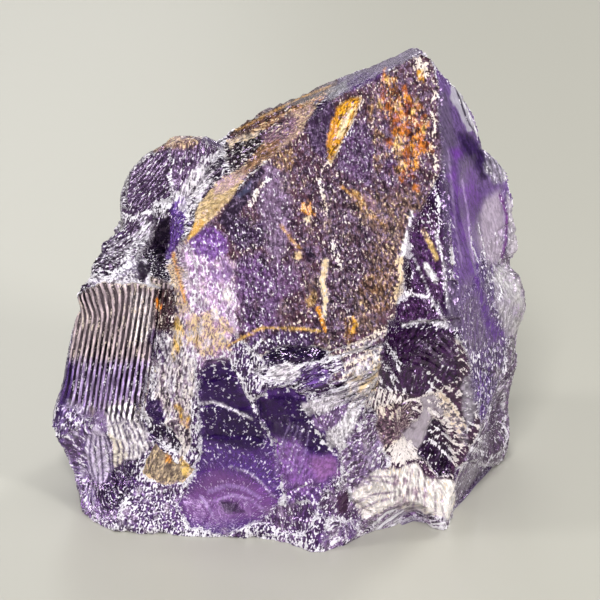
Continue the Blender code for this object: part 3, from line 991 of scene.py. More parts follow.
# %% [markdown]
# ## The mesh
# The grid is far finer than a stone needs on its flat parts. It becomes a mesh with its finish
# stored point by point, and Blender's Decimate then keeps small faces only where the relief is. A
# vertex group lets it take more away on the hidden sides.

# %% Building the mesh
KEEP_TRIANGLES = 194000
SHARP_EDGE = 38
HIDDEN_CREST = 0.3
HIDDEN_SPARE, FRONT_SPARE, SPARE_SPLIT = 1.0, 0.5, -0.1


def grid_mesh(name, points, quads, fields):
    """A mesh of quads from whole arrays, with one named value per point for each field."""
    mesh = bpy.data.meshes.new(name)
    mesh.vertices.add(len(points))
    mesh.vertices.foreach_set("co", (points * MM).astype(np.float32).ravel())
    mesh.loops.add(quads.size)
    mesh.loops.foreach_set("vertex_index", quads.astype(np.int32).ravel())
    mesh.polygons.add(len(quads))
    mesh.polygons.foreach_set("loop_start", np.arange(0, quads.size, 4, dtype=np.int32))
    mesh.update(calc_edges=True)
    for label, values in fields.items():
        wide = values.ndim == 2
        layer = mesh.attributes.new(label, "FLOAT_VECTOR" if wide else "FLOAT", "POINT")
        layer.data.foreach_set("vector" if wide else "value", values.astype(np.float32).ravel())
    return mesh


fields = {
    "tint": np.array([linear(finish.tint) for finish in FINISH_OF])[skin.home],
    "grain": skin.grain,
    "clear": per_facet("clear"),
    "frost": per_facet("frost"),
    "streak": per_facet("streak"),
    "speck": speck,
    "phase": skin.phase,
    "line": skin.line,
    "crest": skin.crest * (HIDDEN_CREST + (1.0 - HIDDEN_CREST) * ramp(facing, -0.1, 0.5)),
    "facing": facing,
}
stone = bpy.data.objects.new("rough_quartz", grid_mesh("rough_quartz", skin.points, quads, fields))
bpy.context.scene.collection.objects.link(stone)
thin = stone.modifiers.new("thin", "DECIMATE")
thin.ratio = KEEP_TRIANGLES / (2 * len(quads))
spare = stone.vertex_groups.new(name="spare")
for weight, chosen in ((HIDDEN_SPARE, facing < SPARE_SPLIT), (FRONT_SPARE, facing >= SPARE_SPLIT)):
    spare.add(np.flatnonzero(chosen).tolist(), weight, "REPLACE")
thin.vertex_group = "spare"
mesh = bpy.data.meshes.new_from_object(stone.evaluated_get(bpy.context.evaluated_depsgraph_get()))
stone.modifiers.clear()
stone.data = mesh
mesh.shade_smooth()
mesh.set_sharp_from_angle(angle=math.radians(SHARP_EDGE))
print("the mesh has", sum(len(p.vertices) - 2 for p in mesh.polygons), "triangles")

# %% [markdown]
# ## Stains
# Iron that seeped along the cracks left ochre and gold on the front, and paler and darker clouds
# lie just under it. Some of the stains are painted light and shade instead: glints, highlights, and
# the glow and the dark that the clear facets show. Each stain is an outline on the drawing board
# and is mixed into the skin's tint with a ragged edge.

# %% The stains


class Stain(NamedTuple):
    """A patch inside an outline, or a line along an open path if it has a width in mm: its tint,
    how strongly it covers, how ragged and how soft its edge is in mm, and what it makes of the
    skin's clearness, specks and streaks. Without a tint, the skin keeps its own."""

    outline: str
    tint: str
    cover: float = 0.9
    ragged: float = 0.35
    soft: float = 0.2
    clear: float = 0.35
    speck: float = 0.06
    streak: float = 0.6
    width: float = 0.0


def line(path, tint, width, speck=0.06, ragged=0.35, cover=0.95):
    """A thin line, whose width is given in steps of the board and handed on in mm."""
    return Stain(path, tint, cover, ragged, 0.1, 0.2, speck, 0.4, width / STEPS_PER_MM)


def chalk(path, width, speck=0.52):
    """A line of crushed quartz: the tint stays, and only the specks crowd together."""
    return Stain(path, "", 0.95, 0.8, 0.16, 0.3, speck, 0.6, 0.75 * width / STEPS_PER_MM)


def crushed(outline, speck=0.6, ragged=0.6):
    """A patch of crushed quartz, whose tint stays."""
    return Stain(outline, "", 0.9, ragged, 0.3, 0.3, speck, 0.6)


def fan(first, last, count, make, *finish):
    """Lines spread from a first path to a last one, corner by corner, a little unevenly."""
    random = np.random.default_rng(count)
    first, last = corners(first), corners(last)
    lines = []
    for part in np.linspace(0.0, 1.0, count):
        path = first + (last - first) * (part + random.uniform(-0.35, 0.35) / count)
        path = path + random.normal(0.0, 0.9, path.shape)
        lines.append(make(" ".join(f"{x:.1f},{y:.1f}" for x, y in path), *finish))
    return lines


def strewn(outline, tints, count, size, seed, *finish):
    """Small patches strewn at random inside an outline, each a ring of six corners that is drawn
    out upwards, with the tints in turn."""
    random = np.random.default_rng(seed)
    ring = corners(outline)
    tints = tints.split()
    patches = []
    while len(patches) < count:
        middle = random.uniform(ring.min(axis=0), ring.max(axis=0))
        if path_distance(middle[:1], middle[1:], ring, True)[0] < 0.0:
            continue
        turn = np.arange(6) * math.pi / 3 + random.uniform(0.0, 1.0)
        reach = size * random.uniform(0.5, 1.3) * random.uniform(0.5, 1.1, 6)
        x, y = middle[0] + 0.8 * reach * np.cos(turn), middle[1] + 1.3 * reach * np.sin(turn)
        path = " ".join(f"{a:.1f},{b:.1f}" for a, b in zip(x, y))
        patches.append(Stain(path, tints[len(patches) % len(tints)], *finish))
    return patches


STAINS = [
    # the frosted main face, from the left
    Stain(
        "178,240 217,242 235,262 240,300 236,335 226,362 200,368 184,345 176,300",
        "D0ACD4", 0.88, 1.2, 0.6, 0.3, 0.3, 0.5,
    ),
    Stain("186,318 215,310 232,330 230,350 205,358 188,345", "E4C0B4", 0.7, 0.8, 0.5, 0.3, 0.4, 0.6),
    Stain(
        "232,262 262,255 280,290 276,330 250,345 240,320 238,290",
        "7C5498", 0.7, 1.0, 0.8, 0.6, 0.08, 0.8,
    ),
    Stain("188,240 210,226 226,235 228,252 212,262 196,252", "8C58B8", 0.9, 0.5, 0.4, 0.5, 0.04, 0.5),
    Stain("210,266 224,260 234,272 228,284 214,280", "B088C8", 0.8, 0.4, 0.25, 0.6, 0.06, 0.3),
    Stain("276,262 300,262 302,285 285,300 262,320 256,300", "8A6498", 0.6, 0.6, 0.6, 0.5, 0.12, 0.5),
    Stain(
        "264,165 284,158 292,200 290,240 276,262 262,240 258,205",
        "947C9C", 0.8, 0.6, 0.7, 0.5, 0.03, 0.5,
    ),
    Stain("222,222 236,215 262,222 262,244 240,250 228,240", "34224A", 0.85, 0.7, 0.4, 0.6, 0.1, 0.8),
    Stain(
        "300,175 355,185 375,240 372,300 340,345 318,330 330,270 318,215",
        "4E3A46", 0.65, 1.2, 1.0, 0.45, 0.07, 1.0,
    ),
    Stain("345,130 385,115 400,160 395,185 350,180 335,165", "5C3C72", 0.7, 1.0, 0.8, 0.5, 0.02, 0.7),
    Stain(
        "345,195 420,190 425,215 400,290 372,330 352,330 368,280 365,235",
        "785E4C", 0.75, 1.2, 1.0, 0.3, 0.05, 0.9,
    ),
    Stain("362,275 388,262 392,290 384,310 366,318 360,300", "84603A", 0.7, 0.9, 0.6, 0.3, 0.04, 0.9),
    Stain(
        "306,118 330,98 338,110 334,140 326,160 312,150 306,135",
        "3E2A50", 0.88, 0.4, 0.25, 0.5, 0.0, 0.5,
    ),
    Stain(
        "244,345 262,332 290,332 316,334 312,346 280,348 258,354",
        "4A3268", 0.8, 0.5, 0.3, 0.6, 0.12, 0.7,
    ),
    *strewn(
        "250,172 330,168 400,180 398,300 350,345 250,340", "6C5A48 48323C 7C6858 544060 8A7668 3C2C3A",
        90, 7.0, 1, 0.5, 0.5, 0.5, 0.4, 0.06, 0.9,
    ),
    *strewn(
        "338,110 378,110 392,185 340,185",
        "4C3468 644C74 3C2A50 78607C", 26, 6.0, 2, 0.5, 0.5, 0.5, 0.4, 0.03, 0.8,
    ),
    *strewn(
        "182,252 235,262 240,330 225,358 190,350", "F4E8F0 AC84BC EAD8E8 C49CCC FAF2F2 D8B8D0",
        54, 5.0, 3, 0.7, 0.5, 0.3, 0.2, 0.12, 0.4,
    ),
    # the dark strip under the blade
    Stain(
        "232,196 261,166 265,172 252,196 240,214 228,230 218,222",
        "1E1628", 0.97, 0.25, 0.12, 0.6, 0.0, 0.2,
    ),
    # painted glint: a small slate-blue highlight on the dark strip
    Stain("236,196 252,180 250,190 240,198", "56607E", 0.8, 0.2, 0.15, 0.5, 0.0, 0.3),
    # the blade
    Stain(
        "186,243 198,232 216,215 234,194 242,180 228,178 210,190 200,203 194,222",
        "E8C890", 0.92, 0.3, 0.15, 0.2, 0.1, 0.35,
    ),
    Stain(
        "228,178 242,180 262,162 285,148 300,134 316,105 300,104 275,118 262,146 240,165",
        "C8A494", 0.9, 0.3, 0.2, 0.3, 0.12, 0.5,
    ),
    Stain("186,243 196,234 204,222 198,218 190,232", "F0B858", 0.9, 0.2, 0.12, 0.1, 0.0, 0.2),
    Stain("262,132 285,112 300,118 292,135 275,145 262,142", "9C7490", 0.8, 0.5, 0.25, 0.4, 0.08, 0.6),
    Stain("258,145 280,140 275,152 258,165 246,172 250,158", "8C6440", 0.85, 0.4, 0.2, 0.2, 0.04, 0.7),
    Stain("216,182 232,172 240,182 226,192 214,196", "DCB8BC", 0.85, 0.5, 0.25, 0.3, 0.12, 0.3),
    Stain(
        "226,162 222,145 235,138 255,135 262,145 252,158 240,168 232,172",
        "24121C", 0.92, 0.5, 0.15, 0.6, 0.14, 0.9,
    ),
    Stain("264,128 285,112 292,116 272,135", "3A2430", 0.7, 0.8, 0.2, 0.5, 0.1, 0.8),
    Stain("226,140 240,132 258,127 262,135 240,142 230,148", "F4E0CC", 0.85, 0.5, 0.15, 0.2, 0.2, 0.5),
    Stain(
        "240,136 262,122 300,102 330,88 338,89 318,102 285,114 262,130",
        "B88450", 0.85, 0.5, 0.15, 0.15, 0.2, 0.9,
    ),
    Stain(
        "228,134 262,106 300,90 335,74 338,86 300,104 265,122 234,142",
        "5C4038", 0.9, 0.3, 0.12, 0.3, 0.02, 0.8,
    ),
    line("236,131 262,117 300,98 330,86", "C89858", 2.2, 0.0, 0.8, 0.85),
    # the crest
    Stain("345,84 360,74 378,71 392,66 384,76 365,86 350,92", "8A5CBC", 0.85, 0.4, 0.3, 0.8, 0.0, 0.3),
    Stain("325,92 345,80 348,90 330,100", "96949C", 0.8, 0.3, 0.2, 0.4, 0.02, 0.3),
    # ochre, gold and rust
    Stain(
        "372,95 385,85 380,120 392,150 385,170 395,185 375,165 368,130",
        "6C5040", 0.6, 1.0, 0.5, 0.2, 0.08, 1.0,
    ),
    Stain(
        "383,72 396,76 398,90 408,95 410,103 425,103 424,110 412,117 428,124 428,140 433,150"
        " 425,155 415,150 420,165"
        " 412,172 402,180 395,168 403,160 398,145 388,140 394,125 385,118 378,105 382,92",
        "8C5620", 0.95, 0.6, 0.12, 0.05, 0.12, 1.0,
    ),
    Stain("400,122 425,124 425,138 412,142 400,138", "A05E1C", 0.9, 0.6, 0.12, 0.05, 0.08, 1.0),
    Stain("408,141 428,142 431,152 415,158", "BC7C2C", 0.9, 0.6, 0.12, 0.05, 0.1, 1.0),
    Stain("396,122 403,130 402,160 408,172 400,178 394,150", "C89858", 0.7, 0.8, 0.2, 0.1, 0.25, 0.9),
    Stain("402,124 414,122 418,134 406,138", "3C1604", 0.92, 0.6, 0.1, 0.1, 0.0, 0.8),
    Stain("408,100 424,102 420,109 408,108", "8C5620", 0.9, 0.3, 0.1, 0.1, 0.0, 0.8),
    Stain("384,73 396,76 396,84 388,88", "A87028", 0.9, 0.4, 0.1, 0.1, 0.08, 1.0),
    *strewn(
        "370,95 382,84 396,110 396,150 405,185 380,175 366,130", "7C5C34 5A4044 9C7440 4C3430",
        36, 4.2, 4, 0.6, 0.4, 0.2, 0.2, 0.06, 0.9,
    ),
    # the ochre's own tones, with painted shadows in the darkest browns and painted highlights in the gold
    *strewn(
        "383,72 396,76 408,95 425,103 428,124 433,150 415,158 416,170 402,180 395,160 388,140"
        " 385,118 378,100",
        "6C2C08 B06014 D48C28 8C4408 C0701C 381808 E4B868 A05410",
        80, 5.0, 5, 0.85, 0.5, 0.12, 0.1, 0.0, 0.7,
    ),
    crushed("413,118 429,118 429,124 412,124", 0.5),
    Stain("413,183 419,185 418,192 412,190", "D07A24", 0.95, 0.2, 0.1, 0.1, 0.0, 0.4),
    Stain("416,70 424,68 424,82 417,80", "E4A42C", 0.9, 0.4, 0.1, 0.1, 0.1, 0.5),
    Stain(
        "336,108 350,98 361,98 358,110 348,130 340,144 330,162 327,152 334,132 335,120",
        "DC9C20", 0.97, 0.25, 0.1, 0.1, 0.02, 0.9,
    ),
    # painted highlight: the pale cream streak on the gold flake
    Stain("349,108 356,106 348,122 341,138 337,138 342,120", "F4DCA8", 0.9, 0.35, 0.12, 0.1, 0.1, 0.4),
    Stain("332,118 338,110 339,128 330,148 325,148", "F0A41C", 0.9, 0.3, 0.1, 0.1, 0.0, 0.5),
    Stain(
        "352,190 360,193 372,212 388,226 378,224 364,216 356,202",
        "B88C50", 0.85, 0.5, 0.15, 0.2, 0.14, 0.7,
    ),
    Stain("360,198 372,196 378,208 372,212", "96707C", 0.7, 0.3, 0.3, 0.3, 0.02, 0.3),
    Stain("276,152 290,148 296,160 285,172 272,165", "7C5C34", 0.8, 0.7, 0.3, 0.2, 0.1, 0.9),
    Stain("302,204 311,202 314,214 309,218 303,214", "D08C2C", 0.95, 0.5, 0.1, 0.1, 0.1, 0.9),
    Stain("301,215 310,216 309,223 303,222", "F4E4C4", 0.9, 0.5, 0.1, 0.1, 0.4, 0.5),
    Stain("294,252 302,252 302,258 295,260", "F0CC98", 0.95, 0.2, 0.1, 0.1, 0.1, 0.3),
    Stain("303,246 312,250 319,259 308,257", "120A1C", 0.97, 0.2, 0.1, 0.5, 0.0, 0.2),
    Stain("346,318 356,318 358,330 350,345 344,335", "8A5C20", 0.8, 0.5, 0.2, 0.2, 0.1, 0.8),
    Stain("312,285 318,282 316,300 308,312 306,305", "A88444", 0.7, 0.5, 0.2, 0.2, 0.12, 0.8),
    line("341,186 350,194 362,200", "C08C48", 3),
    line("281,226 290,238 300,248", "C89450", 3),
    line("228,346 238,340 262,328 290,328 320,331", "E4B458", 2.5),
    line("318,308 322,320 325,330", "F0A020", 4),
    line("353,318 356,324 352,332", "F4B430", 3.5),
    # white flecks on the main face
    chalk("316,170 321,188 326,210", 5),
    line("326,262 322,280 326,300 324,316", "F4E8D8", 6, 0.5, 1.0),
    chalk("250,205 258,190 268,178", 6),
    chalk("332,240 336,256 342,268", 6),
    chalk("361,98 350,128 332,162 322,170", 3),
    # the shoulder, the gap and the lump
    *strewn(
        "142,222 170,196 206,150 214,160 196,210 186,240 150,262",
        "F4F0F6 3A2850 F0ECF2 8474A0", 40, 3.2, 17, 0.75, 0.4, 0.12, 0.2, 0.1, 0.7,
    ),
    Stain(
        "171,205 182,195 187,206 184,232 176,248 168,262 164,255 170,230",
        "7450AC", 0.95, 0.3, 0.1, 0.4, 0.05, 0.6,
    ),
    Stain(
        "152,238 160,222 168,216 171,235 166,258 160,265 154,250",
        "0C0614", 0.98, 0.25, 0.1, 0.4, 0.0, 0.2,
    ),
    Stain("137,258 147,263 152,272 142,286 136,280", "140A1C", 0.97, 0.4, 0.12, 0.3, 0.0, 0.3),
    Stain("190,178 197,182 198,196 192,200 188,190", "1E1228", 0.95, 0.3, 0.12, 0.6, 0.0, 0.5),
    Stain("206,168 222,158 220,176 208,180", "1E1228", 0.92, 0.6, 0.12, 0.6, 0.1, 0.6),
    Stain(
        "150,146 165,138 190,137 205,142 195,148 170,146 155,152",
        "C09880", 0.7, 0.6, 0.3, 0.3, 0.2, 0.8,
    ),
    chalk("120,215 133,219 150,212 169,206 180,192 190,187 203,168 220,150", 7),
    chalk("198,222 200,200 196,180 206,160", 5),
    chalk("186,236 186,210 188,196", 4),
    chalk("110,274 122,270 133,262 138,256", 6),
    chalk("128,284 136,282 150,288 158,286", 6),
    Stain("94,262 106,246 130,240 138,250 124,264 104,274", "44304C", 0.85, 0.6, 0.2, 0.5, 0.12, 0.9),
    *strewn(
        "98,236 122,218 152,216 150,256 104,270",
        "3A2A48 B4A8C0 54426A D4CCDA", 30, 3.6, 6, 0.7, 0.4, 0.2, 0.3, 0.12, 0.8,
    ),
    *strewn(
        "136,150 200,148 180,200 126,205",
        "4C3860 786480 3A2A48", 26, 4.0, 7, 0.5, 0.5, 0.3, 0.4, 0.06, 0.8,
    ),
    # the ribs and the band beside them
    Stain("155,288 175,290 176,325 165,335 155,325", "3A2012", 0.92, 0.4, 0.2, 0.4, 0.1, 0.95),
    Stain("150,328 168,332 170,360 160,372 150,360", "3A2450", 0.85, 0.5, 0.3, 0.5, 0.14, 0.8),
    Stain("68,362 150,362 142,402 100,408 60,402", "9C80C8", 0.5, 0.8, 1.0, 0.6, 0.08, 0.5),
    Stain("130,288 152,296 150,340 132,345", "E0D8D8", 0.5, 0.6, 0.4, 0.3, 0.26, 0.8),
    Stain("54,425 66,362 73,366 70,400 60,432", "7C58B8", 0.92, 0.25, 0.2, 0.9, 0.0, 0.15),
    Stain(
        "172,256 180,268 186,285 190,310 178,318 174,290 170,268",
        "D4BCA8", 0.7, 0.8, 0.2, 0.2, 0.26, 0.8,
    ),
    line("173,254 176,268 181,284 185,302", "E0A050", 2.8, 0.1, 0.9),
    Stain("176,312 182,330 180,350 172,364 169,358 176,340", "E0B850", 0.85, 0.5, 0.15, 0.1, 0.2, 0.8),
    Stain("172,400 182,407 190,415 188,427 182,424 178,412", "ECB83C", 0.92, 0.4, 0.1, 0.1, 0.1, 0.6),
    line("157,300 159,308", "F08C14", 4),
    chalk("197,262 192,300 196,340 190,380 192,410", 6),
    *strewn(
        "150,340 196,330 200,440 165,440 150,400",
        "E8DCE8 8C70A4 CCB4CC 543A6C", 44, 4.2, 8, 0.7, 0.4, 0.2, 0.3, 0.12, 0.7,
    ),
    # the rippled shell at the lower left
    Stain("96,400 104,408 109,428 100,436 92,425", "B89CD0", 0.85, 0.4, 0.25, 0.6, 0.06, 0.3),
    # the white and cream strands on the shell are painted highlights
    Stain("104,408 132,402 152,444 140,458 124,462 112,440", "FFF6F8", 0.96, 0.4, 0.2, 0.05, 0.0, 0.3),
    Stain("84,436 96,426 110,440 113,470 100,490 88,474", "E4D4F0", 0.95, 0.4, 0.2, 0.1, 0.03, 0.3),
    Stain(
        "108,432 118,440 128,455 124,462 116,472 113,460 112,445",
        "FCF0E0", 0.97, 0.25, 0.1, 0.1, 0.04, 0.2,
    ),
    *fan("108,410 114,430 120,450 117,464", "134,402 142,418 152,436 158,446", 8, line, "3A2458", 1.9, 0.0),
    *fan("86,436 83,452 86,470 94,484", "108,436 113,452 113,470 108,486", 6, line, "3A2458", 2.0, 0.0),
    *fan("90,444 88,458 92,474", "104,444 107,458 106,472", 3, chalk, 1.8),
    Stain(
        "112,472 128,458 138,468 133,490 118,507 105,502 97,486 110,482",
        "38205A", 0.92, 0.4, 0.15, 0.85, 0.12, 0.7,
    ),
    Stain("149,400 160,400 165,420 156,425 147,412", "44287C", 0.95, 0.2, 0.12, 0.85, 0.0, 0.2),
    chalk("140,410 146,420 150,425", 6),
    chalk("150,452 146,462 140,478", 3),
    Stain("180,458 191,465 187,478 180,472", "F4CC70", 0.92, 0.3, 0.12, 0.1, 0.1, 0.5),
    Stain("165,452 172,457 171,464 165,462", "E89830", 0.85, 0.3, 0.12, 0.1, 0.1, 0.5),
    Stain("62,404 90,404 92,430 70,440 58,428", "A88CC4", 0.7, 0.6, 0.4, 0.4, 0.24, 0.9),
    Stain("66,450 84,470 96,500 88,510 74,488 62,462", "B098CC", 0.75, 0.6, 0.4, 0.4, 0.24, 0.9),
    Stain("92,482 104,486 118,508 108,512 96,500", "3A2450", 0.8, 0.4, 0.2, 0.7, 0.12, 0.8),
    *strewn(
        "104,504 140,484 186,488 204,530 112,534",
        "7C5C94 C4B0C8 5C3C74 E8DEE6", 40, 4.6, 9, 0.7, 0.4, 0.2, 0.3, 0.14, 0.6,
    ),
    *strewn(
        "200,528 262,530 262,500 345,484 360,520 380,524 340,548 250,538",
        "745094 B49CBC 5A3874 9478A4", 60, 5.0, 10, 0.75, 0.4, 0.2, 0.4, 0.08, 0.6,
    ),
    *strewn(
        "60,404 92,404 84,440 96,500 72,490 56,430",
        "E4DAEC 7450A0 B8A4CC 5A3C80", 44, 4.0, 11, 0.7, 0.4, 0.2, 0.3, 0.1, 0.6,
    ),
    *fan("152,340 160,360 158,392", "186,330 196,360 194,396", 7, line, "F4ECF4", 2.2, 0.3, 1.2, 0.8),
    *fan("106,246 128,236 148,224", "112,264 132,254 150,246", 5, line, "D8D0DC", 1.6, 0.2, 1.2, 0.7),
    *fan("196,176 206,160 220,150", "194,206 202,190 212,178", 4, line, "F4EEF4", 2.4, 0.3, 1.2, 0.8),
    *fan("120,262 132,244 142,226", "136,262 146,246 156,226", 4, line, "F0ECF2", 2.0, 0.3, 1.2, 0.8),
    *fan("176,200 188,176 204,156", "186,216 196,200 206,184", 5, line, "F4EEF4", 2.2, 0.3, 1.2, 0.8),
    # the two dark facets, of deep violet quartz: their near-black upper parts and paler lower parts
    # are painted shade and light, as the clear quartz shows them
    Stain(
        "198,372 208,362 228,360 240,386 258,418 270,442 258,452 230,446 204,440 199,410",
        "280A56", 0.97, 0.5, 0.8, 0.6, 0.0, 0.3,
    ),
    Stain(
        "182,492 215,468 250,476 278,500 262,520 200,524 178,508",
        "9060A4", 0.93, 0.5, 1.4, 0.5, 0.02, 0.1,
    ),
    Stain("218,500 235,502 248,514 225,512", "2C1838", 0.85, 0.3, 0.3, 0.8, 0.0, 0.5),
    line("199,404 212,402 222,405 234,410 252,419", "F4ECF8", 2.6, 0.3, 0.6),
    Stain("200,374 208,364 228,362 240,386 236,398 200,398", "", 0.9, 0.6, 0.4, 0.6, 0.045, 0.3),
    Stain(
        "200,410 224,410 252,424 272,446 262,454 240,440 220,432 202,428",
        "", 0.9, 0.6, 0.4, 0.6, 0.1, 0.3,
    ),
    Stain(
        "206,440 232,446 262,460 276,478 272,486 250,468 224,458 204,454",
        "", 0.9, 0.8, 0.5, 0.5, 0.07, 0.3,
    ),
    line("230,466 250,473 262,483 274,497", "E4D8F0", 1.8, 0.2, 0.6, 0.85),
    line("210,491 228,485 246,489 260,498", "B898D8", 4, 0.0, 0.2, 0.7),
    line("214,501 232,495 250,499 264,510", "B898D0", 3, 0.0, 0.2, 0.7),
    line("200,496 207,505 213,516", "C0A4DC", 2.5, 0.0, 0.2, 0.7),
    chalk("230,360 243,384 258,412 272,440 280,470 284,504", 5),
    Stain(
        "254,402 280,393 300,398 318,425 335,450 318,455 295,440 280,440 266,430",
        "240050", 0.97, 0.4, 0.6, 0.6, 0.014, 0.3,
    ),
    Stain(
        "272,440 295,440 310,455 340,462 338,480 300,495 285,488 275,465",
        "A070BC", 0.88, 0.6, 1.0, 0.4, 0.01, 0.4,
    ),
    Stain("310,458 335,455 339,475 318,479", "B078BC", 0.85, 0.6, 0.8, 0.4, 0.0, 0.3),
    chalk("310,420 322,440 338,458", 4),
    chalk("286,500 300,488 312,480", 3),
    Stain("337,497 348,491 347,512 339,513", "48223E", 0.9, 0.3, 0.15, 0.6, 0.0, 0.5),
    chalk("311,494 318,506 316,516", 4),
    *fan("290,424 278,448 274,474", "308,428 304,452 298,474", 5, line, "B4A0D0", 1.6, 0.1, 0.5, 0.6),
    *fan("302,404 300,412", "322,442 318,450", 5, chalk, 1.4),
    # the crushed step under the main face
    Stain("262,356 282,346 310,345 318,352 296,364 268,366", "2A1C48", 0.92, 0.5, 0.2, 0.7, 0.06, 0.6),
    crushed("268,370 285,363 300,370 292,384 274,384", 0.6),
    Stain("308,402 328,396 346,390 342,404 322,414", "E8E0E8", 0.9, 0.35, 0.12, 0.4, 0.16, 0.5),
    crushed("330,424 348,402 360,406 352,430 338,446", 0.6),
    Stain("286,373 310,372 328,384 306,391", "5A3A7C", 0.85, 0.5, 0.2, 0.6, 0.14, 0.7),
    Stain("352,370 380,352 382,385 362,398 350,390", "D4CCA8", 0.5, 0.8, 0.4, 0.4, 0.34, 0.8),
    chalk("250,352 262,340 285,342", 4),
    chalk("345,350 362,342 384,330", 9),
    *fan("384,342 362,350 340,360", "372,404 354,420 338,444", 7, line, "3C2C48", 2.4, 0.12, 0.9, 0.8),
    *fan("380,352 360,358 344,366", "366,402 350,416 338,434", 6, chalk, 3.0, 0.8),
    *fan("300,366 288,374 280,384", "330,376 316,386 304,394", 4, line, "5A3A80", 3.0, 0.14, 0.9, 0.8),
    *strewn(
        "262,362 380,340 375,400 340,445 320,410",
        "5C4080 ECE4F0 402C54 BCACC8", 44, 4.0, 12, 0.65, 0.4, 0.15, 0.3, 0.14, 0.8,
    ),
    *strewn(
        "340,440 380,440 380,470 350,490 342,470",
        "B49CC8 DCCEE0 8C70A8", 18, 5.0, 13, 0.7, 0.4, 0.25, 0.3, 0.08, 0.5,
    ),
    *fan("346,352 362,346 382,334", "346,430 356,412 374,392", 9, line, "FAF4F4", 2.4, 0.2, 1.0, 0.8),
    Stain("302,404 326,396 346,388 344,402 324,412 308,416", "E8E0E8", 0.92, 0.3, 0.12, 0.3, 0.1, 0.5),
    Stain("312,420 334,411 350,401 346,416 330,430 318,432", "A888BC", 0.85, 0.3, 0.12, 0.4, 0.06, 0.5),
    Stain(
        "324,434 340,420 352,406 362,410 354,430 340,448 330,446",
        "F0EAF0", 0.92, 0.4, 0.12, 0.3, 0.16, 0.5,
    ),
    Stain("270,368 290,362 302,368 296,382 276,384", "F4EEF4", 0.9, 0.5, 0.15, 0.2, 0.2, 0.6),
    Stain("304,372 322,366 332,374 322,388 308,386", "6A4C90", 0.85, 0.4, 0.15, 0.4, 0.06, 0.6),
    # the wedge and the ridge
    Stain(
        "410,214 428,210 441,232 446,262 441,302 426,294 406,296 402,270 405,244",
        "6A4478", 0.97, 0.3, 0.15, 0.5, 0.014, 0.7,
    ),
    Stain("410,258 418,244 438,262 442,302 426,294 411,290", "664074", 0.97, 0.3, 0.15, 0.5, 0.012, 0.7),
    Stain("400,300 430,299 447,321 400,322", "603A6C", 0.97, 0.3, 0.15, 0.5, 0.015, 0.8),
    Stain("412,236 418,222 428,226 440,252 438,262 420,246", "623A74", 0.97, 0.3, 0.15, 0.5, 0.015, 0.7),
    crushed("394,304 398,288 397,262 400,248 408,238 413,250 410,270 411,290 404,302", 0.6, 0.9),
    Stain("404,256 410,262 412,290 406,292 403,275", "1E1020", 0.9, 0.3, 0.12, 0.6, 0.08, 0.7),
    line("407,243 416,262 424,280 433,302 446,324", "E8DEEC", 2.0, 0.3, 0.9),
    line("399,299 412,294 428,297", "F0E8F2", 3.0, 0.4, 0.9),
    # painted glint: a short white highlight on the wedge
    line("426,265 435,280", "F4F0F4", 6, 0.3, 0.3),
    line("403,325 425,321 452,328", "F0E8F2", 3.4, 0.4, 0.9),
    line("423,230 430,243 437,259", "E4C078", 5, 0.1, 0.3),
    line("411,212 409,226 404,244 401,256", "F0E8F2", 3.4, 0.4, 0.9),
    line("436,232 443,262 445,284 449,305 456,326", "F0E8F2", 3.6, 0.4, 0.9),
    chalk("434,92 431,110 435,128 431,146 436,164 434,182 438,200 440,215 437,236", 4.5),
    Stain("408,228 420,212 438,214 440,232 430,238", "6C4C70", 0.7, 0.6, 0.3, 0.4, 0.2, 0.8),
    crushed("412,60 422,57 430,66 426,74 414,70", 0.6, 0.9),
    chalk("455,326 458,350 456,380 464,410 462,440 458,462", 4),
    # the scoop
    Stain(
        "384,335 400,329 450,330 457,350 459,380 440,388 420,396 395,392 378,388",
        "3C1A48", 0.97, 0.4, 0.2, 0.5, 0.02, 0.9,
    ),
    Stain("378,406 412,402 410,425 400,440 385,450 375,430", "806470", 0.88, 0.4, 0.25, 0.3, 0.12, 0.95),
    Stain(
        "420,398 440,393 448,410 440,418 432,410 428,436 420,448 408,444 402,432 418,420 424,408",
        "B8AEB6", 0.97, 0.12, 0.1, 0.2, 0.0, 0.1,
    ),
    crushed("388,450 402,436 414,448 418,458 400,466 390,460", 0.75),
    Stain(
        "426,432 434,418 442,424 449,440 452,458 450,475 438,478 428,462 418,455",
        "2A1434", 0.95, 0.25, 0.12, 0.8, 0.05, 0.9,
    ),
    Stain(
        "434,391 448,398 462,418 471,442 463,446 452,425 440,408",
        "D8CCCC", 0.85, 0.4, 0.15, 0.2, 0.3, 0.8,
    ),
    Stain(
        "392,472 415,462 430,478 452,480 456,500 448,520 425,512 408,512 385,505",
        "FFF8F2", 0.96, 0.4, 0.2, 0.05, 0.06, 0.3,
    ),
    Stain(
        "352,492 372,470 395,468 400,480 395,500 380,515 362,520",
        "FAF2EE", 0.95, 0.5, 0.2, 0.05, 0.06, 0.3,
    ),
    *fan("386,340 394,350 402,364", "382,380 390,388 396,400", 5, chalk, 2.4, 0.8),
    *fan("380,392 378,404 382,416", "404,390 398,404 398,418", 5, chalk, 2.2, 0.8),
    *fan("414,342 430,356 446,372", "440,334 452,346 458,356", 4, line, "9C84A8", 1.8, 0.2, 0.8, 0.7),
    *fan(
        "384,424 392,408 408,402 420,406",
        "396,442 402,430 410,424 416,426",
        4, line, "4A3440", 2.0, 0.1, 0.6, 0.8,
    ),
    *fan("428,372 444,382 458,396", "430,438 446,452 458,468", 9, chalk, 3.0, 0.85),
    *fan("432,376 448,388 460,402", "434,434 448,446 460,460", 8, line, "4A3044", 2.0, 0.1, 0.6, 0.75),
    *strewn(
        "384,468 430,470 424,506 380,508",
        "8C7084 FFF6EE B8A2AC 6A4C60", 20, 4.6, 18, 0.75, 0.4, 0.2, 0.2, 0.06, 0.5,
    ),
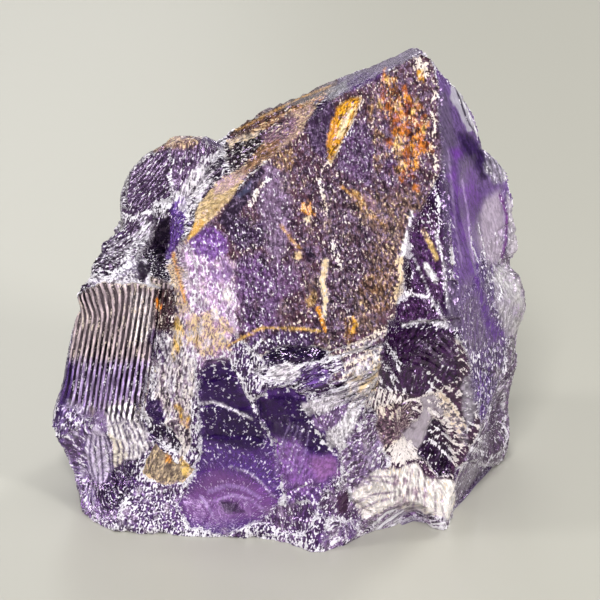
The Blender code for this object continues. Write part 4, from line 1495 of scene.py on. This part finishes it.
    *fan("408,468 402,488 392,508", "436,476 442,494 446,514", 6, line, "7C6076", 2.0, 0.0, 1.0, 0.7),
    *fan("352,480 370,474 392,476", "362,522 378,512 398,506", 5, line, "7C5C84", 2.2, 0.0, 1.0, 0.7),
    *fan("462,396 470,404 480,410", "464,446 474,452 486,458", 8, chalk, 1.8, 0.7),
    *fan("462,344 470,352 480,356", "466,380 476,388 486,392", 5, chalk, 1.8, 0.7),
    *fan("348,448 362,446 376,452", "346,486 360,480 372,484", 6, line, "8870A0", 2.0, 0.16, 0.8, 0.7),
    # the right face: its pale and deep violet lobes are painted light and shade, the gradients that
    # the light makes inside the clear quartz
    Stain(
        "455,288 478,272 490,296 500,330 506,344 480,350 462,340",
        "8A74A2", 0.9, 0.5, 0.6, 0.5, 0.02, 0.3,
    ),
    Stain(
        "438,95 446,90 458,140 452,200 450,260 462,330 448,330 444,250 440,160",
        "786888", 0.88, 0.25, 0.5, 0.45, 0.0, 0.25,
    ),
    Stain(
        "450,150 460,148 472,170 479,200 473,232 466,215 455,190",
        "8C4CC0", 0.88, 0.3, 0.7, 0.45, 0.0, 0.25,
    ),
    Stain("456,132 468,132 484,150 497,176 482,178 466,158", "3C1C66", 0.9, 0.9, 0.7, 0.6, 0.0, 0.5),
    Stain(
        "466,215 480,250 482,290 492,320 506,332 500,350 488,332 478,300 470,270",
        "7040A4", 0.88, 0.3, 0.7, 0.45, 0.0, 0.25,
    ),
    Stain("480,205 500,190 507,230 501,262 488,266 478,240", "D2C2D4", 0.9, 0.4, 0.9, 0.3, 0.0, 0.2),
    Stain("452,82 462,95 475,130 468,132 458,112 450,98", "CEC8D6", 0.92, 0.15, 0.15, 0.3, 0.0, 0.1),
    Stain("487,150 499,153 508,170 504,186 494,184 485,168", "C0B8C8", 0.85, 0.6, 0.6, 0.35, 0.05, 0.6),
    line("488,158 496,172 501,184", "40304C", 1.8, 0.0, 0.5, 0.8),
    line("494,153 502,166 505,180", "F0ECF2", 2.0, 0.1, 0.5),
    Stain("507,192 521,225 516,252 508,256", "D8D0D8", 0.9, 0.2, 0.2, 0.3, 0.05, 0.3),
    Stain(
        "492,268 506,262 522,290 527,312 522,335 506,336 496,305",
        "D0C8D0", 0.93, 0.4, 0.3, 0.3, 0.02, 0.35,
    ),
    *strewn(
        "490,270 506,262 524,292 524,335 506,336 496,305",
        "BCB4BC DCD8D6 A898B4 E8E4E4", 30, 6.0, 15, 0.6, 0.5, 0.4, 0.3, 0.0, 0.3,
    ),
    *strewn(
        "440,95 452,140 478,200 476,240 455,260 446,200",
        "6C4494 8C7C9C 9C5CD0 5C4478", 30, 9.0, 16, 0.5, 0.6, 0.7, 0.5, 0.0, 0.2,
    ),
    line("455,84 460,100 468,122 482,142", "34283F", 2),
    line("462,180 468,215 470,240 474,262", "C8A8E4", 2, 0.0, 0.5, 0.7),
    line("448,150 452,190 456,230 462,262", "B8A0CC", 2, 0.0, 0.5, 0.5),
    line("452,78 460,94 470,116 478,136", "F0ECF2", 2),
    line("500,195 507,215 506,240 502,258", "783C8C", 3),
    chalk("470,226 472,246 478,262", 2.5),
    chalk("478,222 483,242 486,263", 2.5),
    chalk("498,300 503,292 500,286", 3),
    *strewn(
        "462,340 505,340 512,420 495,470 462,462",
        "8C74A0 B4A4C0 60487C D0C4D0", 50, 4.6, 14, 0.6, 0.4, 0.2, 0.4, 0.08, 0.7,
    ),
    # the frosted lower right
    Stain("462,380 470,372 477,385 475,415 468,430 462,410", "B4AEB8", 0.88, 0.3, 0.2, 0.25, 0.06, 0.3),
    Stain("470,372 488,366 492,400 482,422 475,400", "7450A8", 0.7, 0.6, 0.4, 0.5, 0.16, 0.8),
    Stain("458,474 470,464 478,470 474,490 462,500 455,490", "745080", 0.85, 0.3, 0.15, 0.7, 0.04, 0.6),
    line("480,368 490,372 500,372", "34203C", 3),
    chalk("502,465 490,488 470,510 452,526", 4),
]


# %% [markdown]
# ## Painting the stains
# A stain is stored on the mesh's own points, so it needs no picture. Its cover rises from 0 to 1
# across its edge, whose line is pushed in and out by random fields, and the point's tint and
# finish move towards the stain's by that much.

# %% Painting them
WOBBLE_SIZES = (1.1, 0.4)
STAINED_FACING = 0.05
STAINED_REACH = 6.0


def read_field(mesh, label, width=1):
    """One of the mesh's point fields as an array."""
    values = np.empty(len(mesh.vertices) * width, dtype=np.float32)
    mesh.attributes[label].data.foreach_get("value" if width == 1 else "vector", values)
    return values.reshape(-1, width) if width > 1 else values


places = np.empty(len(mesh.vertices) * 3, dtype=np.float32)
mesh.vertices.foreach_get("co", places)
places = places.reshape(-1, 3).astype(float) / MM
u, v = front_view(places)
front = (read_field(mesh, "facing") > STAINED_FACING) & (places[:, 1] < STAINED_REACH)
PAINTED = ("clear", "speck", "streak")
kept = {label: read_field(mesh, label) for label in (*PAINTED, "crest")}
tint = read_field(mesh, "tint", 3)
wobble = [rough(places, size, 300 + 5 * turn, 3) for turn, size in enumerate(WOBBLE_SIZES * 3)]
for number, stain in enumerate(STAINS):
    outline = corners(stain.outline)
    margin = STEPS_PER_MM * (stain.width + 1.5 * stain.ragged + stain.soft)
    near = (u > outline[:, 0].min() - margin) & (u < outline[:, 0].max() + margin)
    near &= (v > outline[:, 1].min() - margin) & (v < outline[:, 1].max() + margin)
    spot = np.flatnonzero(near & front)
    if not len(spot):
        continue
    large, small = (wobble[(number + turn) % len(wobble)][spot] for turn in (0, 1))
    inside = path_distance(u[spot], v[spot], outline, not stain.width)
    if stain.width:
        inside = stain.width / 2 - inside + stain.width * 0.3 * stain.ragged * small
    else:
        inside = inside + stain.ragged * 0.5 * (0.7 * large + 0.4 * small)
    cover = stain.cover * ramp(inside, -stain.soft / 2, stain.soft / 2)
    if stain.tint:
        tint[spot] += cover[:, None] * (linear(stain.tint) - tint[spot])
    elif stain.width:
        cover = cover * (0.4 + 0.6 * ramp(large, -0.8, -0.2))
    for label in PAINTED:
        kept[label][spot] += cover * (getattr(stain, label) - kept[label][spot])
    kept["crest"][spot] *= 1.0 - cover
mesh.attributes["tint"].data.foreach_set("vector", tint.astype(np.float32).ravel())
for label, values in kept.items():
    mesh.attributes[label].data.foreach_set("value", values)
print(len(STAINS), "stains painted")

# %% [markdown]
# ## Amethyst
# Amethyst is quartz coloured by a trace of iron. Quartz bends light with an index of 1.544, and
# part of the colour sits in the body of the stone, as volume absorption: the longer the light's
# way, the deeper the violet. The rest is on the skin, break by break, with the frost, the bruises
# and the stains, and with painted shade in the pits and painted light and shade along the ribs and
# ripples. The pits and specks are drawn about 0.15 mm across, coarser than many real ones, so that
# they show.

# %% A node helper


def add_node(material, kind, inputs=None, **settings):
    """Adds a node and sets its properties, or its inputs' values, by name. The inputs given apart,
    by name or number, are linked if they are another node's output, and otherwise set."""
    node = material.node_tree.nodes.new(kind)
    for key, value in settings.items():
        if hasattr(node, key):
            setattr(node, key, value)
        else:
            node.inputs[key.replace("_", " ")].default_value = value
    for key, source in (inputs or {}).items():
        if isinstance(source, bpy.types.NodeSocket):
            material.node_tree.links.new(source, node.inputs[key])
        else:
            node.inputs[key].default_value = source
    return node


def opaque(code):
    """The linear colour of an sRGB hex code, with full alpha."""
    return (*linear(code), 1.0)


# %% [markdown]
# ## The skin's recipe
# Everything that the skin needs is worked out from the values on the mesh and three noises, in
# small steps. Each step is one Math node, so the recipe is a table, and a loop adds the nodes.

# %% The steps


class Step(NamedTuple):
    """One quantity: its name, the operation, its inputs, which are numbers or the names of
    quantities from before, and whether it is held between 0 and 1. MULTIPLY_ADD is the first
    times the second, plus the third."""

    name: str
    operation: str
    inputs: tuple
    held: bool = False


RECIPE = [
    # how pitted the skin is
    Step("fine_pits", "MULTIPLY", ("fine", 0.4)),
    Step("long_pits", "MULTIPLY", ("strokes", 0.75)),
    Step("pitted", "ADD", ("fine_pits", "long_pits")),
    # crushed specks, which on the frosted faces also stand as painted glints: the highest pits, more of
    # them the higher the speck, and none at all at 0
    Step("near_crushed", "MULTIPLY_ADD", ("speck", 0.42, "pitted")),
    Step("specks", "MULTIPLY_ADD", ("near_crushed", 14.0, -0.70 * 14.0), True),
    Step("any_specks", "MULTIPLY", ("speck", 25.0), True),
    Step("specks_and_glints", "MULTIPLY", ("specks", "any_specks")),
    # crushed crests: the ripples' sharp edges, where the wave of the phase is near 0
    Step("wave", "PINGPONG", ("phase", 0.5)),
    Step("crest_line", "MULTIPLY_ADD", ("wave", -14.0, 2.5), True),
    Step("crest_pits", "ADD", ("crest", "pitted")),
    Step("crest_here", "MULTIPLY_ADD", ("crest_pits", 8.0, -0.95 * 8.0), True),
    Step("crests", "MULTIPLY", ("crest_line", "crest_here")),
    Step("crushed", "MAXIMUM", ("specks_and_glints", "crests")),
    # the tone: streaks along the grain, painted shade in the hollows of the pits, and painted light
    # and shade across the stripes of ribs and lines
    Step("streak_rise", "MULTIPLY_ADD", ("streaks", 7.0, -3.0), True),
    Step("streak_tone", "MULTIPLY_ADD", ("streak_rise", 1.9, -0.9)),
    Step("streaked", "MULTIPLY_ADD", ("streak_tone", "streak", 1.0)),
    Step("pit_depth", "MULTIPLY_ADD", ("pitted", -7.0, 4.2), True),
    Step("hollow", "MULTIPLY", ("pit_depth", "streak")),
    Step("painted_pit_shade", "MULTIPLY_ADD", ("hollow", -0.72, 0.96)),
    Step("pitted_tone", "MULTIPLY", ("streaked", "painted_pit_shade")),
    Step("stripe", "MULTIPLY_ADD", ("wave", 9.0, -1.9), True),
    Step("stripe_light_and_shade", "MULTIPLY_ADD", ("stripe", 2.6, -0.93)),
    Step("striped", "MULTIPLY_ADD", ("stripe_light_and_shade", "line", 1.0)),
    Step("tone", "MULTIPLY", ("pitted_tone", "striped")),
    # the white of crushed quartz: warm where the skin is stained, and shaded along the streaks
    Step("redness", "SUBTRACT", ("red", "blue")),
    Step("warm", "MULTIPLY_ADD", ("redness", 8.0, 0.14), True),
    Step("lit", "MULTIPLY_ADD", ("streaks", 5.0, -1.6), True),
    Step("shade", "MULTIPLY_ADD", ("lit", 0.42, 0.58)),
    # crushed quartz lets little light through, and is rough
    Step("unbroken", "MULTIPLY_ADD", ("crushed", -0.85, 1.0)),
    Step("see_through", "MULTIPLY", ("clear", "unbroken")),
    Step("powder", "MULTIPLY", ("crushed", 0.3)),
    Step("roughness", "ADD", ("frost", "powder"), True),
    # the finest relief: pits, deeper the more frosted the skin is, and the ribs' crests
    Step("pit_relief", "MULTIPLY_ADD", ("frost", 3.4, -0.1)),
    Step("pits", "MULTIPLY", ("pitted", "pit_relief")),
    Step("line_relief", "MULTIPLY", ("line", 3.0)),
    Step("ribs", "MULTIPLY", ("wave", "line_relief")),
    Step("height", "ADD", ("pits", "ribs")),
]
print("the skin's recipe has", len(RECIPE), "steps")

# %% The quartz
# The glint and the body colour are linear already: the first tints the mirrored light, and the
# second is what the stone lets through.
QUARTZ_IOR = 1.544
VIOLET_GLINT = (0.82, 0.58, 0.94, 1.0)
BODY_COLOUR = (0.60, 0.22, 0.66, 1.0)
BODY_DENSITY = 100.0
COLD_WHITE, WARM_WHITE = "FAF6FC", "ECD0A4"
PER_METRE = 1000.0
SPECK_SIZE = 0.15
STROKE_SIZE = 0.15
STREAK_SIZE = 0.22
BUMP_HEIGHT = 0.00008
VECTORS = ("tint", "grain")
NUMBERS = ("clear", "frost", "streak", "speck", "phase", "line", "crest")
NOISES = {
    "fine": ("place", PER_METRE / SPECK_SIZE, 1.0, 0.5),
    "streaks": ("grain", 1.0 / STREAK_SIZE, 3.0, 0.65),
    "strokes": ("grain", 1.0 / STROKE_SIZE, 1.0, 0.5),
}


def amethyst():
    """Amethyst as it broke, never cut or polished: glassy and clear on fresh breaks, satin where
    it is frosted, and white where it is crushed. Each noise is read at a place, at a scale, with
    its detail and roughness."""
    material = bpy.data.materials.new("amethyst quartz")
    material.use_nodes = True
    material.node_tree.nodes.clear()
    known = {"place": add_node(material, "ShaderNodeTexCoord").outputs["Object"]}
    for label in VECTORS + NUMBERS:
        node = add_node(material, "ShaderNodeAttribute", attribute_name=label)
        known[label] = node.outputs["Vector" if label in VECTORS else "Fac"]
    parts = add_node(material, "ShaderNodeSeparateXYZ", {0: known["tint"]}).outputs
    known["red"], known["blue"] = parts[0], parts[2]
    for name, (where, scale, detail, roughness) in NOISES.items():
        noise = add_node(
            material, "ShaderNodeTexNoise", {"Vector": known[where]},
            Scale=scale, Detail=detail, Roughness=roughness,
        )
        known[name] = noise.outputs["Fac"]
    for step in RECIPE:
        inputs = [known[part] if isinstance(part, str) else part for part in step.inputs]
        node = add_node(
            material, "ShaderNodeMath", dict(enumerate(inputs)),
            operation=step.operation, use_clamp=step.held,
        )
        known[step.name] = node.outputs[0]

    white = add_node(
        material, "ShaderNodeMix", {0: known["warm"], 6: opaque(COLD_WHITE), 7: opaque(WARM_WHITE)},
        data_type="RGBA",
    )
    toned = add_node(
        material, "ShaderNodeVectorMath", {0: known["tint"], "Scale": known["tone"]},
        operation="SCALE",
    )
    shaded = add_node(
        material, "ShaderNodeVectorMath", {0: white.outputs[2], "Scale": known["shade"]},
        operation="SCALE",
    )
    colour = add_node(
        material, "ShaderNodeMix",
        {0: known["crushed"], 6: toned.outputs[0], 7: shaded.outputs[0]},
        data_type="RGBA",
    )
    lift = add_node(
        material, "ShaderNodeBump", {"Height": known["height"]}, Strength=0.8, Distance=BUMP_HEIGHT
    )
    shader = add_node(
        material,
        "ShaderNodeBsdfPrincipled",
        {
            "Base Color": colour.outputs[2],
            "Roughness": known["roughness"],
            "Transmission Weight": known["see_through"],
            "Normal": lift.outputs["Normal"],
        },
        IOR=QUARTZ_IOR,
        Specular_Tint=VIOLET_GLINT,
    )
    body = add_node(material, "ShaderNodeVolumeAbsorption", Color=BODY_COLOUR, Density=BODY_DENSITY)
    surface, volume = shader.outputs[0], body.outputs[0]
    add_node(material, "ShaderNodeOutputMaterial", {"Surface": surface, "Volume": volume})
    return material


mesh.materials.append(amethyst())
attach(stone, "root")
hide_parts("amethyst")
print("the quartz has", len(mesh.materials[0].node_tree.nodes), "nodes")

# %% [markdown]
# ## The studio
# A plain pale floor, a soft light overhead and a stronger one in front, and others at the sides
# and behind, which give the glints. Clear stone is drawn by what it mirrors and bends, so the
# room round the lights stays dim.

# %% The floor
FLOOR_HALF = 3.0
FLOOR_DROP = 0.00002
CARD_COLOUR = "B0AEA4"
CARD_ROUGHNESS = 0.35


def pale_card():
    """Pale card with a satin coat: even in tone, with a faint soft mirror of what stands on it."""
    material = bpy.data.materials.new("satin pale card")
    material.use_nodes = True
    shader = material.node_tree.nodes["Principled BSDF"]
    shader.inputs["Base Color"].default_value = opaque(CARD_COLOUR)
    shader.inputs["Roughness"].default_value = CARD_ROUGHNESS
    return material


def lay_floor():
    """One square of card, a hair lower than the foot, so that the two don't share a plane."""
    mesh = bpy.data.meshes.new("floor")
    square = np.array([[-1, -1, 0], [1, -1, 0], [1, 1, 0], [-1, 1, 0]]) * FLOOR_HALF
    mesh.from_pydata(square.tolist(), [], [[0, 1, 2, 3]])
    mesh.materials.append(pale_card())
    thing = bpy.data.objects.new("floor", mesh)
    bpy.context.scene.collection.objects.link(thing)
    thing.location.z = -FLOOR_DROP


lay_floor()
print("the floor is", 2 * FLOOR_HALF, "m across")

# %% The lights


class Lamp(NamedTuple):
    """A square soft light: its place in m, its power in W and its width in m."""

    place: tuple
    power: float
    width: float


LIGHTS = {
    "overhead": Lamp((0.02, 0.06, 0.52), 0.9, 0.30),
    "front": Lamp((-0.05, -0.42, 0.42), 2.4, 0.10),
    "right_front": Lamp((0.36, -0.26, 0.22), 1.1, 0.10),
    "left": Lamp((-0.45, -0.08, 0.20), 0.95, 0.08),
    "back_right": Lamp((0.30, 0.34, 0.26), 1.0, 0.10),
    "behind": Lamp((-0.10, 0.45, 0.20), 0.25, 0.20),
}
STONE_HEART = Vector((0.0, 0.0, 0.016))
ROOM_COLOUR = (0.80, 0.80, 0.78, 1.0)
ROOM_STRENGTH = 0.2

for name, lamp in LIGHTS.items():
    light = bpy.data.lights.new(name, "AREA")
    light.energy = lamp.power
    light.size = lamp.width
    holder = bpy.data.objects.new(name, light)
    bpy.context.scene.collection.objects.link(holder)
    holder.location = lamp.place
    holder.rotation_euler = (STONE_HEART - Vector(lamp.place)).to_track_quat("-Z", "Y").to_euler()

world = bpy.data.worlds.new("studio")
bpy.context.scene.world = world
world.use_nodes = True
room = world.node_tree.nodes["Background"].inputs
room["Color"].default_value = ROOM_COLOUR
room["Strength"].default_value = ROOM_STRENGTH
print(len(LIGHTS), "lights of", round(sum(lamp.power for lamp in LIGHTS.values()), 2), "W in all")

# %% The camera
SENSOR_WIDTH = 36.0
LENS = 195.0
NEAREST_SEEN = 0.001

camera = bpy.data.objects.new("camera", bpy.data.cameras.new("camera"))
bpy.context.scene.collection.objects.link(camera)
bpy.context.scene.camera = camera
camera.location = Vector(CAMERA_PLACE) * MM
camera.rotation_euler = Vector(SIGHT).to_track_quat("-Z", "Y").to_euler()
camera.data.sensor_width = SENSOR_WIDTH
camera.data.lens = LENS
camera.data.clip_start = NEAREST_SEEN
bpy.context.scene.view_settings.view_transform = "Standard"
print("the camera's lens is", LENS, "mm")
